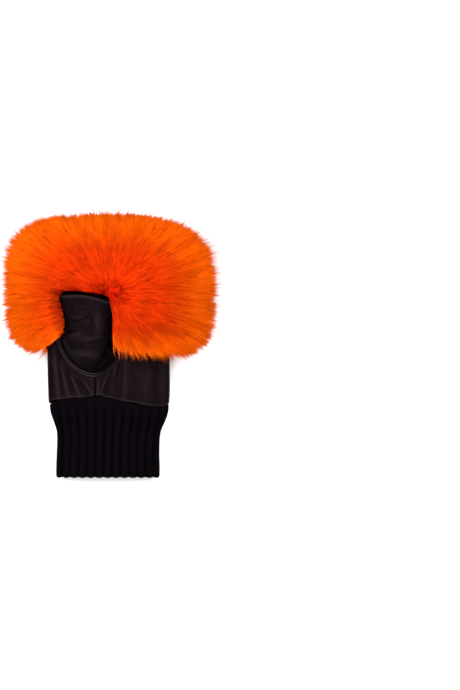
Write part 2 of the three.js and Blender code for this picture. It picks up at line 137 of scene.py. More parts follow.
# Seams and hems: where they run, how far they sink or lift the leather in mm, and their painted shade and
# highlight
CLOSING_SEAM = {
    "x": -12.8, "top": -25, "bottom": -45, "fade": 2, "width": 0.8, "depth": 1.4, "dark": 0.5,
    "ridge": 0.6, "ridge_at": 1.7, "ridge_width": 0.9, "painted_light": 0.15,
}
SIDE_SEAM = {"width": 0.28, "pucker": 0.35, "depth": 0.25, "pitch": 2.6, "fade_y": (20, 8)}
PALM_EDGE = {"lip": 1.6, "tuck": 1.1, "painted_light": 0.13, "painted_light_at": 1.2, "painted_light_width": 0.8}
PALM_STITCHES = {"height": 0.22, "at": 1.8, "width": 0.9, "pitch": 2.4}
THUMB_HEM = {"lift": 0.4, "edge": 0.6, "stitches": 0.55, "width": 0.55, "dark": 0.2}
THUMB_MOUTH = {"painted_light": 0.25, "painted_light_at": 0.3, "painted_light_width": 0.7, "round": 0.7, "rows": (0.2, 0.5, 0.8)}
# Slow swells of the leather: their height in mm and how fast they change along each axis
HAND_SWELLS = table(
    ("height", "scale", "offset"),
    (0.6, (0.05, 0.03, 0.05), 0.0),
    (0.3, (0.2, 0.08, 0.2), 7.0),
)
THUMB_SWELLS = table(
    ("height", "scale", "offset"),
    (0.8, (0.08, 0.08, 0.08), 3.0),
    (0.3, (0.25, 0.16, 0.25), 0.0),
)

# Thumb: where its front and back walls run, seen from the side
THUMB_SECTIONS = table(
    ("front_y", "front_z", "back_y", "back_z", "x", "width", "arch"),
    (-18.5, 35.5, 26.4, 41.2, -19.6, 20.6, 0),
    (-9, 44.5, 28.6, 41.7, -19.2, 20.5, 0.5),
    (4, 51.5, 31.6, 42.2, -18.7, 19.6, 1.5),
    (15, 54.6, 34.8, 42.8, -18.8, 20.4, 2.6),
    (26, 58.5, 37.4, 43.4, -19.2, 21.6, 3.8),
    (36.4, 60.5, 40.4, 44.0, -19.3, 22.0, 5),
)
THUMB_TIP_SLOPE = -0.15
THUMB_HOLE = {"x": -19.6, "y": 0.8, "width": 20.8, "length": 23.8, "shear": -0.27}
WELT_FADE = {"turn": 0.35, "cosine": (0.25, 0.85), "share": 0.9, "sink": 1.2}  # beside the cleft
WELT_HIGHLIGHT = (1.2, 1.6)  # between which heights it gets more and more painted highlight
# Reach beyond the hole and height over the palm, from under the welt to the tube
WELT_RINGS = table(
    ("reach", "height"),
    (4.0, -0.6),
    (4.4, 0.5),
    (4.1, 1.5),
    (3.5, 1.8),
    (3.0, 1.2),
    (2.7, 0.3),
    (2.4, 1.1),
    (1.8, 1.8),
    (1.2, 1.4),
    (0.8, 0.3),
    (0.4, -0.3),
)
# The deep fold beside the thumb's foot, which is darkened with painted shade too
THUMB_CLEFT = [(4.5, 4), (1.5, -5), (-1.5, -14), (-6, -21), (-11, -24)]
CLEFT = {"width": 3.8, "height": -4.5}
CLEFT_FADE = {"from_foot": (0.2, 2.5), "inner_z": (34, 40)}  # where it begins, outside and inside, in mm
# Creases of the thumb, in plan: their lift also paints shade in its dents and highlight on its crests
THUMB_CREASES = table(
    ("x0", "y0", "x1", "y1", "width", "height"),
    (-24.5, 17.5, -19, 20, 2.6, -5.0),
    (-33, 14, -28, 17, 3.0, -5.0),
    (-37, 20, -31, 18.5, 1.6, -1.2),
    (-30, 22.5, -22, 23, 2.4, 0.4),
    (-35, 8, -24, 9.5, 2.6, 0.5),
    (-16, 30, -15, 13, 2.0, -0.6),
    (-10, 26, -9, 8, 3.0, 0.35),
    (-26, 4, -8, 6.5, 2.4, 0.4),
    (-24, 0, -4, 3.5, 1.6, -0.6),
    (-30, -6, -12, -9, 2.4, 0.6),
    (-34, 28.5, -12, 25, 1.3, -0.5),
)

# Fur: the pile's outline from the palm, by quadrants, and the two partings from which it is combed outwards
FUR_OUTLINE = {"x": 0.3, "y": 51.8, "width": 93}
FUR_QUADRANTS = [(61, 2.7), (61, 3.4), (64, 4.6), (67, 4.6)]  # half height and squareness
SLEEVE = {"x": -1.3, "y": 50.8, "width": 52.6, "height": 38.2, "power": 6}
PALM_PARTING = {"x": 0.8, "y": 42.5, "crown": 72, "rise": 1}
BACK_PARTING = {"x": 9.3, "y": 61.0, "crown": -2, "rise": -1}
PILE_EDGE = {"middle": 27, "above": 4, "hand_x": (46, 62), "wrist_y": (4, 20), "end_y": (90, 104)}
LEAST_TIP_SHARE = 0.32  # how far out the hair of the parting ends, of the way to the rim
TIP_CROWDING = 0.85  # under 1, the hair's ends are closer together at the rim
BEND = {"along": 0.4, "climb": 0.95, "lift": 4}
ROOT_HEIGHT = 0.4  # of a hair over the leather
# How square the pile is in section, at its sides and how much more at its ends
BLUNT = {"least": 2.1, "more": 0.4, "from": (0.2, 0.9)}
# The hair that leans away from the thumb: its bend, its root's height, and how much of it is under the thumb
BORDER_HAIR = {"climb": 0.72, "root": 3, "hidden": 0.42}
LOW_ROOTS = {"x": -41, "y": 14, "spread": 6}  # of the hair that hangs down beside the thumb's foot
STUB = 0.5  # a hair that would be shorter than this part of itself is left out
PATH_STEPS = 60  # at which a hair's way is tried against the bare palm
GOLDEN_ANGLE = math.pi * (3 - math.sqrt(5))
BARE_PALM = [  # the outline of thumb and bare leather, in plan, which the hair stays out of
    (-72, -18), (-66, -8.8), (-52.5, -1.4), (-43.4, 6.2), (-39.6, 10.4), (-38.9, 17), (-39.9, 26),
    (-41.6, 34), (-41.8, 41), (-39.4, 46), (-25, 46.8), (-12, 45.2), (2.6, 38.6), (3.2, 25), (3, 8),
    (3.2, 2.6), (12, -0.6), (28, -3.4), (44, -4.8), (58, -5.8), (58, -60), (-58, -60),
]
# How far single hairs hang over the bare leather, in mm: below the pile and elsewhere
OVERHANG = {"wisps": 22, "strays": 1.5, "wisps_below_y": 6, "left_of_x": -35}
SLEEVE_START = 13  # where the sleeve that carries the pile begins
LEAST_RUN = 0.4  # how much of the way from the bare palm to the rim a hair beside it lies along
BORDER_UNEVEN = {"all_round": 1.0, "low": 1.7, "low_from": -0.15}  # in mm, and times as much at the low side
# The hair is darkest beside the thumb: by how much, over how many mm, above which y and off the parting
THUMB_SHADE = {"most": 0.95, "reach": 14, "y": (4, 14), "parting": (6, 15)}

STREAKS = (55.0, 60.0, 1.0)  # of the undercoat: how many to a radian and to a metre outwards
UNDERCOAT_FADE = (0.03, 0.085)  # from how far out its colour leaves the roots' for the tips', in m

FLOOR_SIZE = 6.0
FLOOR_ROUGHNESS = 0.9
WORLD_STRENGTH = 0.48
LIGHT_SIZE = 1.1
LIGHT_AIM = (0, 0.02, 0.03)
LIGHTS = table(
    ("name", "place", "power"),
    ("key", (-1.25, 0.6, 1.8), 74),
    ("side light", (1.1, 0.6, 1.8), 64),
    ("low light", (-0.1, -1.4, 1.7), 52),
)
# Straight over the middle of the picture
CAMERA = {"lens": 250, "sensor": 36, "far": 20, "place": (0.102, 0.0, 4.102)}


def colour_property(name, description, default):
    """A colour setting."""
    return bpy.props.FloatVectorProperty(
        name=name, description=description, subtype="COLOR", default=default, min=0, max=1)


def length_property(name, description, length):
    """A length setting, whose default is given in mm."""
    return bpy.props.FloatProperty(name=name, description=description, default=length * MM, unit="LENGTH")


class GloveFinish(bpy.types.PropertyGroup):
    """Colours of the glove's materials."""

    hair_tip: colour_property(
        "Hair tips", "Colour of the pile's outer ends", (1.0, 0.152, 0.0008))
    # partly the pile's own redder colour and partly painted shade deep in the pile and round the partings
    hair_root: colour_property(
        "Hair roots", "Colour of the pile deep down and at its partings", (0.62, 0.014, 0.0008))
    leather: colour_property(
        "Leather", "Colour of the hand and thumb", (0.0028, 0.0015, 0.0019))
    # painted highlight: the colour painted on the crests of folds, seams and edges
    highlight_leather: colour_property(
        "Highlit leather", "Colour of the crests of its folds, seams and edges", (0.026, 0.018, 0.022))
    knit: colour_property(
        "Knit", "Colour of the cuff's yarn", (0.0018, 0.0013, 0.002))
    floor: colour_property(
        "Floor", "Colour of the surface that the glove lies on", (0.6, 0.6, 0.6))


class GloveSizes(bpy.types.PropertyGroup):
    """Sizes of the glove's sewn parts."""

    leather_wall: length_property("Leather", "Thickness of the leather", 1.3)
    rib_depth: length_property("Rib depth", "Depth of the furrows between ribs", 1.9)
    stitch_pitch: length_property("Knit stitch", "Height of one row of knitting", 2.1)
    thumb_hem: length_property("Thumb hem", "Depth of the turned edge at the thumb's mouth", 6.6)


class GlovePile(bpy.types.PropertyGroup):
    """Density and form of the faux fur."""

    palm_tufts: bpy.props.IntProperty(
        name="Palm tufts", description="Tufts of hair on the palm side", default=5200)
    back_tufts: bpy.props.IntProperty(
        name="Back tufts", description="Tufts of hair on the back", default=2400)
    hairs: bpy.props.IntProperty(name="Hairs", description="Bent hairs in a tuft", default=5)
    fine_hairs: bpy.props.IntProperty(
        name="Fine hairs", description="Short fine hairs in a tuft, at its outer end", default=14)
    hair: length_property("Hair", "Thickness of a hair at its base", 0.6)
    tuft: length_property("Tuft", "Half width of a tuft at its base", 1.5)
    seed: bpy.props.IntProperty(name="Seed", description="Seed of the pile's unevenness", default=11)


def smoothstep(low, high, value):
    """A smooth rise from 0 to 1 between two values, or a fall where low is over high."""
    t = np.clip((np.asarray(value, float) - low) / (high - low), 0, 1)
    return t * t * (3 - 2 * t)


def bell(offset, width):
    """1 at no offset, falling smoothly to next to nothing at twice the width."""
    return np.exp(-((offset / width) ** 2))


def smooth_between(values, slopes, i, span, t):
    """A smooth curve from value i to the next, where t runs from 0 to 1 over the span."""
    return (
        values[i] * (2 * t**3 - 3 * t**2 + 1)
        + slopes[i] * span * (t**3 - 2 * t**2 + t)
        + values[i + 1] * (3 * t**2 - 2 * t**3)
        + slopes[i + 1] * span * (t**3 - t**2)
    )


def column(sections, key, y):
    """One column of a table of sections, smoothly interpolated by its y."""
    ys = np.array([row["y"] for row in sections], float)
    values = np.array([row[key] for row in sections], float)
    slopes = np.empty_like(values)
    slopes[1:-1] = (values[2:] - values[:-2]) / (ys[2:] - ys[:-2])
    slopes[0] = (values[1] - values[0]) / (ys[1] - ys[0])
    slopes[-1] = (values[-1] - values[-2]) / (ys[-1] - ys[-2])
    y = np.clip(np.asarray(y, float), ys[0], ys[-1])
    i = np.clip(np.searchsorted(ys, y) - 1, 0, len(ys) - 2)
    span = ys[i + 1] - ys[i]
    return smooth_between(values, slopes, i, span, (y - ys[i]) / span)


def even_oval(width, height, count):
    """Evenly spaced points round a flattened oval and their outward directions, from the +X side."""
    angle = np.linspace(0, TURN, OVAL_SAMPLES + 1)
    c, s = np.cos(angle), np.sin(angle)
    k = (abs(c) ** OVAL_POWER + abs(s) ** OVAL_POWER) ** (-1 / OVAL_POWER)
    points = np.stack([width * c * k, height * s * k], axis=1)
    steps = np.diff(points, axis=0)
    lengths = np.concatenate([[0], np.cumsum(np.hypot(steps[:, 0], steps[:, 1]))])
    wanted = np.arange(count) / count * lengths[-1]
    even = np.stack([np.interp(wanted, lengths, points[:, k]) for k in (0, 1)], axis=1)
    along = np.roll(even, -1, axis=0) - np.roll(even, 1, axis=0)
    outward = np.stack([along[:, 1], -along[:, 0]], axis=1)
    return even, outward / np.linalg.norm(outward, axis=1, keepdims=True)


class Tube:
    """The surface of a hand or cuff, looked up by column and by y."""

    def __init__(self, sections, columns, step=1.0):
        self.ys = np.arange(sections[0]["y"], sections[-1]["y"] + step / 2, step)
        shape = (len(self.ys), columns, 2)
        self.points, self.outward = np.empty(shape), np.empty(shape)
        widths, heights = column(sections, "width", self.ys), column(sections, "height", self.ys)
        middles = np.stack([column(sections, key, self.ys) for key in ("x", "z")], axis=1)
        for i in range(len(self.ys)):
            even, outward = even_oval(widths[i], heights[i], columns)
            self.points[i] = even + middles[i]
            self.outward[i] = outward

    def at(self, columns, y):
        """Points in mm and outward directions for arrays of columns and of y."""
        place = np.clip((y - self.ys[0]) / (self.ys[1] - self.ys[0]), 0, len(self.ys) - 1.001)
        i = place.astype(int)
        t = (place - i)[..., None]
        point = self.points[i, columns] * (1 - t) + self.points[i + 1, columns] * t
        outward = self.outward[i, columns] * (1 - t) + self.outward[i + 1, columns] * t
        zero = np.zeros_like(y)
        return (
            np.stack([point[..., 0], y, point[..., 1]], axis=-1),
            np.stack([outward[..., 0], zero, outward[..., 1]], axis=-1),
        )


def leather_height(x, y, rise, grown=0.0):
    """Height of the leather's outer surface in mm: rise is 1 on the palm and -1 on the back."""
    y = np.clip(y, HAND_SECTIONS[0]["y"], FINGER_END)
    width = column(HAND_SECTIONS, "width", y) + grown
    height = column(HAND_SECTIONS, "height", y) + grown
    aside = np.minimum(abs(x - column(HAND_SECTIONS, "x", y)) / width, 1)
    return column(HAND_SECTIONS, "z", y) + rise * height * (1 - aside**OVAL_POWER) ** (1 / OVAL_POWER)


def crease_height(creases, x, y):
    """How far the creases lift the leather at places in plan, in mm."""
    lift = np.zeros_like(x)
    for crease in creases:
        run_x, run_y = crease["x1"] - crease["x0"], crease["y1"] - crease["y0"]
        off_x, off_y = x - crease["x0"], y - crease["y0"]
        along = np.clip((off_x * run_x + off_y * run_y) / (run_x**2 + run_y**2), 0, 1)
        aside = np.hypot(off_x - along * run_x, off_y - along * run_y)
        fade = np.sin(math.pi * (CREASE_WAVE["start"] + CREASE_WAVE["run"] * along))
        lift += crease["height"] * fade * bell(aside, crease["width"])
    return lift


def noise_at(points, scale, offset=0.0):
    """Smooth noise from -1 to 1 at points in mm."""
    flat = points.reshape(-1, 3)
    values = [noise.noise(Vector((p[0] * scale[0] + offset, p[1] * scale[1], p[2] * scale[2]))) for p in flat]
    return np.array(values).reshape(points.shape[:-1])


def swells(points, layers):
    """The slow swells of leather at points in mm."""
    return sum(layer["height"] * noise_at(points, layer["scale"], layer["offset"]) for layer in layers)


def hem_at(x, height):
    """Where the leather ends at the wrist, in y, at places across the hand and at heights over its sides."""
    xs = np.array([row["x"] for row in PALM_HEM], float)
    ys = np.array([row["y"] for row in PALM_HEM], float)
    i = np.clip(np.searchsorted(xs, x) - 1, 0, len(xs) - 2)
    palm = ys[i] + (ys[i + 1] - ys[i]) * smoothstep(xs[i], xs[i + 1], x)
    return BACK_HEM + (palm - BACK_HEM) * smoothstep(0, HEM_BLEND, height)


def surface_normals(points):
    """Outward directions of a grid of points that closes round its columns."""
    across = np.roll(points, -1, axis=1) - np.roll(points, 1, axis=1)
    up = np.gradient(points, axis=0)
    normal = np.cross(across, up)
    return normal / np.maximum(np.linalg.norm(normal, axis=-1, keepdims=True), 1e-9)


def new_piece(name, bm, material):
    """Makes an object of a bmesh."""
    mesh = bpy.data.meshes.new(name)
    bm.to_mesh(mesh)
    bm.free()
    return finish_piece(name, mesh, material)


def finish_piece(name, mesh, material):
    """Makes an object of a mesh, smooth and in its material, riding on the glove."""
    mesh.materials.append(material)
    mesh.polygons.foreach_set("use_smooth", [True] * len(mesh.polygons))
    piece = bpy.data.objects.new(name, mesh)
    bpy.context.scene.collection.objects.link(piece)
    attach(piece, "root")
    return piece


def sheet_of(points, values, loop, bake_map=False):
    """A bmesh tube through rows of points in mm, from a flat grid. In a loop the last row meets the first.

    The values, from 0 to 1, go into the attribute "relief".
    """
    rows, columns = points.shape[:2]
    bands = rows if loop else rows - 1
    bm = bmesh.new()
    bmesh.ops.create_grid(bm, x_segments=columns, y_segments=bands, size=1.0)
    if bake_map:
        layer = bm.loops.layers.uv.new("OFBake")
        for face in bm.faces:
            for corner in face.loops:
                corner[layer].uv = (0.5 + 0.498 * corner.vert.co.x, 0.5 + 0.498 * corner.vert.co.y)
    relief = bm.verts.layers.float.new("relief")
    for vert in bm.verts:
        i = round((vert.co.y + 1) / 2 * bands) % rows
        j = round((vert.co.x + 1) / 2 * columns) % columns
        vert[relief] = min(max(values[i, j], 0), 1)
        vert.co = Vector(points[i, j]) * MM
    bmesh.ops.remove_doubles(bm, verts=bm.verts, dist=1e-8)
    bmesh.ops.recalc_face_normals(bm, faces=bm.faces)
    return bm


def node_tree(name):
    """A new material, its shader, and short ways to add a node and to feed its inputs."""
    material = bpy.data.materials.new(name)
    material.use_nodes = True
    tree = material.node_tree

    def feed(node, inputs):
        """Sets or links the inputs of a node: each is a value, or the output that goes into it."""
        for key, value in inputs.items():
            if isinstance(value, bpy.types.NodeSocket):
                tree.links.new(value, node.inputs[key])
            else:
                node.inputs[key].default_value = value

    def add(kind, inputs=None, **settings):
        node = tree.nodes.new(kind)
        for key, value in settings.items():
            setattr(node, key, value)
        feed(node, inputs or {})
        return node

    return material, tree.nodes["Principled BSDF"], add, feed


def ramp_between(add, value, low, high, stops=(0.0, 1.0)):
    """A colour ramp over a value, as its node."""
    ramp = add("ShaderNodeValToRGB", {"Fac": value})
    for element, position, colour in zip(ramp.color_ramp.elements, stops, (low, high)):
        element.position = position
        element.color = (*colour, 1)
    return ramp


def noise_texture(add, place, scale, roughness, detail=3.0, distortion=0.0):
    """The grey of a noise texture."""
    return add("ShaderNodeTexNoise", {
        "Vector": place, "Scale": scale, "Roughness": roughness, "Detail": detail, "Distortion": distortion,
    }).outputs["Fac"]


def bump(add, height, strength, distance, **normal):
    """The surface's normal, tilted by a height."""
    inputs = {"Height": height, "Strength": strength, "Distance": distance, **normal}
    return add("ShaderNodeBump", inputs).outputs["Normal"]


def multiplied(add, first, second):
    """The product of two colours."""
    inputs = {"Factor": 1.0, "A": first, "B": second}
    return add("ShaderNodeMix", inputs, data_type="RGBA", blend_type="MULTIPLY").outputs["Result"]


def shaded(colour, factor):
    """A colour made darker or brighter."""
    return tuple(factor * c for c in colour)


def leather_material():
    """Soft black leather: pebbled grain, fine wrinkles, a broken sheen, painted highlight on crests and
    painted shade in folds.
    """
    finish = bpy.context.scene.glove_finish
    material, shader, add, feed = node_tree("Leather")
    place = add("ShaderNodeTexCoord").outputs["Object"]
    relief = add("ShaderNodeAttribute", attribute_type="GEOMETRY", attribute_name="relief").outputs["Fac"]
    # Painted shade and highlight: dark in folds, lighter on crests, seams and edges, by the attribute relief
    shade_and_highlight = ramp_between(add, relief, shaded(finish.leather, 0.1), tuple(finish.highlight_leather))
    shade_and_highlight.color_ramp.elements.new(FLAT).color = (*shaded(finish.leather, 1.4), 1)
    mottle = noise_texture(add, place, 38.0, 0.55)
    tone = ramp_between(add, mottle, (0.5, 0.5, 0.5), (1.0, 1.0, 1.0), (0.3, 0.72))
    wrinkle = noise_texture(add, place, 95.0, 0.6, detail=5.0, distortion=0.8)
    rough = add("ShaderNodeMapRange", {"Value": wrinkle, "To Min": 0.26, "To Max": 0.5})
    grain = add("ShaderNodeTexVoronoi", {
        "Vector": place, "Scale": 1150.0, "Randomness": 1.0,
    }, feature="DISTANCE_TO_EDGE")
    pebbles = bump(add, grain.outputs["Distance"], 0.35, 0.00012)
    feed(shader, {
        "Base Color": multiplied(add, shade_and_highlight.outputs["Color"], tone.outputs["Color"]),
        "Roughness": rough.outputs["Result"],
        "Normal": bump(add, wrinkle, 0.45, 0.0006, Normal=pebbles),
        "Specular IOR Level": 0.01,
        "Specular Tint": (1.0, 0.74, 0.82, 1),
    })
    return material


def knit_material():
    """Matt black yarn with painted shade between the ribs and stitches, and a faint fuzz of twisted fibres.
    """
    finish = bpy.context.scene.glove_finish
    material, shader, add, feed = node_tree("Knit yarn")
    place = add("ShaderNodeTexCoord").outputs["Object"]
    relief = add("ShaderNodeAttribute", attribute_type="GEOMETRY", attribute_name="relief").outputs["Fac"]
    # painted light and shade: lighter on the crests, darker the deeper the yarn lies
    depth = ramp_between(add, relief, shaded(finish.knit, 1.3), shaded(finish.knit, 0.45), (0.05, 0.8))
    fibre = noise_texture(add, place, 1500.0, 0.7)
    tone = ramp_between(add, fibre, (0.55, 0.55, 0.55), (1.0, 1.0, 1.0), (0.3, 0.7))
    feed(shader, {
        "Base Color": multiplied(add, depth.outputs["Color"], tone.outputs["Color"]),
        "Normal": bump(add, fibre, 0.6, 0.0002),
        "Roughness": 0.95,
        "Specular IOR Level": 0.0,
    })
    return material


def hair_material():
    """Orange pile: redder at its roots and near the partings, with a tone of its own for each tuft."""
    finish = bpy.context.scene.glove_finish
    material, shader, add, feed = node_tree("Faux fur hair")
    pile = add("ShaderNodeAttribute", attribute_type="GEOMETRY", attribute_name="pile").outputs["Color"]
    parts = add("ShaderNodeSeparateColor", {"Color": pile}).outputs
    # darker and redder towards the roots and the partings: partly the pile's own colour, partly painted shade
    to_rim = add("ShaderNodeMath", {0: parts["Blue"], 1: 0.65}, operation="MULTIPLY").outputs["Value"]
    outer = add("ShaderNodeMath", {0: parts["Red"], 1: 0.35, 2: to_rim}, operation="MULTIPLY_ADD")
    ends = tuple(finish.hair_root), tuple(finish.hair_tip)
    depth = ramp_between(add, outer.outputs["Value"], *ends, (0.15, 0.95))
    tone = ramp_between(add, parts["Green"], (0.56, 0.38, 0.38), (1.0, 1.0, 1.0), (0.0, 0.6))
    feed(shader, {
        "Base Color": multiplied(add, depth.outputs["Color"], tone.outputs["Color"]),
        "Roughness": 0.8,
        "Specular IOR Level": 0.02,
    })
    return material


def undercoat_material():
    """The dense short fibres under the hair, streaked outwards from the partings as the hair is."""
    finish = bpy.context.scene.glove_finish
    material, shader, add, feed = node_tree("Faux fur undercoat")
    place = add("ShaderNodeTexCoord").outputs["Object"]
    streaks, ways = {}, {}
    for side, parting in (("A", BACK_PARTING), ("B", PALM_PARTING)):
        centred = add("ShaderNodeMapping", {
            "Vector": place, "Location": (-parting["x"] * MM, -parting["y"] * MM, 0), "Scale": (1, 1, 0),
        }, vector_type="POINT").outputs["Vector"]
        aside = add("ShaderNodeSeparateXYZ", {"Vector": centred}).outputs
        angle = add("ShaderNodeMath", {0: aside["Y"], 1: aside["X"]}, operation="ARCTAN2").outputs["Value"]
        ways[side] = add("ShaderNodeVectorMath", {0: centred}, operation="LENGTH").outputs["Value"]
        combed = add("ShaderNodeCombineXYZ", {"X": angle, "Y": ways[side]}).outputs["Vector"]
        stretched = add("ShaderNodeMapping", {"Vector": combed, "Scale": STREAKS}, vector_type="POINT")
        streaks[side] = noise_texture(add, stretched.outputs["Vector"], 1.0, 0.65)
    height = add("ShaderNodeSeparateXYZ", {"Vector": place}).outputs["Z"]
    upper = add("ShaderNodeMath", {0: height, 1: PILE_EDGE["middle"] * MM}, operation="GREATER_THAN")
    streak, way = [
        add("ShaderNodeMix", {"Factor": upper.outputs["Value"], **sides}, data_type="FLOAT").outputs["Result"]
        for sides in (streaks, ways)
    ]
    outwards = add("ShaderNodeMapRange", {
        "Value": way, "From Min": UNDERCOAT_FADE[0], "From Max": UNDERCOAT_FADE[1],
    }).outputs["Result"]
    fleece = noise_texture(add, place, 420.0, 0.7)
    # painted shade: the undercoat's outer colour is the tips' made darker, for lying deep in the pile
    ends = tuple(finish.hair_root), shaded(finish.hair_tip, 0.75)
    toned = ramp_between(add, outwards, *ends).outputs["Color"]
    for part in (
        ramp_between(add, streak, (0.4, 0.35, 0.35), (1.1, 1.1, 1.1), (0.3, 0.68)),
        ramp_between(add, fleece, (0.35, 0.3, 0.3), (1.15, 1.15, 1.15), (0.35, 0.62)),
    ):
        toned = multiplied(add, toned, part.outputs["Color"])
    feed(shader, {
        "Base Color": toned,
        "Normal": bump(add, streak, 0.9, 0.001),
        "Roughness": 0.85,
        "Specular IOR Level": 0.02,
    })
    return material


def material_named(name, make):
    """The material of that name, made at its first use."""
    return bpy.data.materials.get(name) or make()


class GLOVE_OT_knit_cuff(bpy.types.Operator):
    """Knits the ribbed cuff, with its stitches, as one closed wall."""

    bl_idname = "glove.knit_cuff"
    bl_label = "Knit Cuff"

    RIBS = 26
    COLUMNS_PER_RIB = 12
    WALL = 3.2
    ROW_STEP = 0.5
    INNER_ROWS = 20
    EDGE = 1.6  # how far the rounded wrist edge stands out past the rows
    EDGE_ROWS = 6
    SCALLOP = 0.9  # how much less it does so between the ribs
    INNER_RELIEF = 0.4  # of the ribs inside, to those outside
    INNER_SHADE = 0.5
    DEEP = 1.6  # depth under the crest, in mm, from which the yarn's painted shade is at its darkest
    # Depth in mm, slant of a leg in rows, and by how many rows the next wale is higher
    STITCH = {"depth": 0.42, "slant": 0.85, "offset": 0.5}
    LEGS_FURROW = {"depth": 0.35, "width": 0.22}  # between a stitch's two legs, in mm and in half wales
    WALES_FURROW = {"depth": 0.5, "width": 0.06}  # between a rib's two wales, in mm and in ribs
    FLATTER = {"share": 0.55, "y": (-66, -50)}  # how much flatter the ribs are towards the leather
    # How far the knit stands out under the leather, and from how far below the hem to how far
    SWELL = {"all": 0.6, "from": (-0.5, 0.5), "hem": 2.4, "hem_from": (0, 1), "hem_to": (24, 4)}
    PRESSED = (-0.95, -0.3)  # between which slopes the underside swells less, for the floor

    def rib(self, columns, y, sizes):
        """Depth under the crest, in mm: the rib's own curve, its two wales and their slanting stitches."""
        phase = (columns % self.COLUMNS_PER_RIB) / self.COLUMNS_PER_RIB
        crest = np.sin(math.pi * phase) ** 0.5
        flatness = 1 - self.FLATTER["share"] * smoothstep(*self.FLATTER["y"], y)
        depth = sizes.rib_depth / MM * (1 - crest) * flatness
        wale = (2 * phase) % 1
        leg = abs(wale - 0.5) * 2
        offset = self.STITCH["offset"] * (np.floor(2 * phase) % 2)
        row = y / (sizes.stitch_pitch / MM) - self.STITCH["slant"] * leg + offset
        stitch = self.STITCH["depth"] * (0.5 + 0.5 * np.cos(TURN * row)) * crest
        legs = self.LEGS_FURROW["depth"] * bell((wale - 0.5) * 2, self.LEGS_FURROW["width"]) * crest
        wales = self.WALES_FURROW["depth"] * bell(phase - 0.5, self.WALES_FURROW["width"])
        return depth + stitch + legs + wales

    def swell(self, point, outward):
        """How far the knit stands out where it comes from under the leather's hem, in mm."""
        height = point[:, 2] - column(CUFF_SECTIONS, "z", point[:, 1])
        below = hem_at(point[:, 0], height) - point[:, 1]
        swell = self.SWELL
        at_hem = swell["hem"] * smoothstep(*swell["hem_from"], below) * smoothstep(*swell["hem_to"], below)
        above_floor = smoothstep(*self.PRESSED, outward[:, 2])
        return (swell["all"] * smoothstep(*swell["from"], below) + at_hem) * above_floor

    def execute(self, context):
        sizes = context.scene.glove_sizes
        count = self.RIBS * self.COLUMNS_PER_RIB
        tube = Tube(CUFF_SECTIONS, count, self.ROW_STEP)
        low, high = CUFF_SECTIONS[0]["y"] + self.EDGE, CUFF_SECTIONS[-1]["y"]
        columns = np.arange(count)
        rows, depths = [], []
        for y in np.arange(low, high + self.ROW_STEP / 2, self.ROW_STEP):
            point, outward = tube.at(columns, np.full(count, y))
            depth = self.rib(columns, y, sizes)
            rows.append(point + outward * (self.swell(point, outward) - depth)[:, None])
            depths.append(depth / self.DEEP)
        for y in np.linspace(high, low, self.INNER_ROWS):
            point, outward = tube.at(columns, np.full(count, y))
            inwards = self.WALL + self.INNER_RELIEF * self.rib(columns, y, sizes)
            rows.append(point - outward * inwards[:, None])
            depths.append(np.full(count, self.INNER_SHADE))
        phase = (columns % self.COLUMNS_PER_RIB) / self.COLUMNS_PER_RIB
        scallop = self.SCALLOP * (1 - np.sin(math.pi * phase))
        inside, outside = rows[-1], rows[0]
        for step in range(1, self.EDGE_ROWS):
            turn = math.pi * step / self.EDGE_ROWS
            point = (inside + outside) / 2 + (inside - outside) / 2 * math.cos(turn)
            point[:, 1] = low - (self.EDGE - scallop) * math.sin(turn)
            rows.append(point)
            depths.append(depths[0])
        bm = sheet_of(np.array(rows), np.array(depths), loop=True, bake_map=True)
        piece = new_piece("knit_cuff_ribs", bm, material_named("Knit yarn", knit_material))
        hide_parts("knit_cuff")
        return {"FINISHED"}


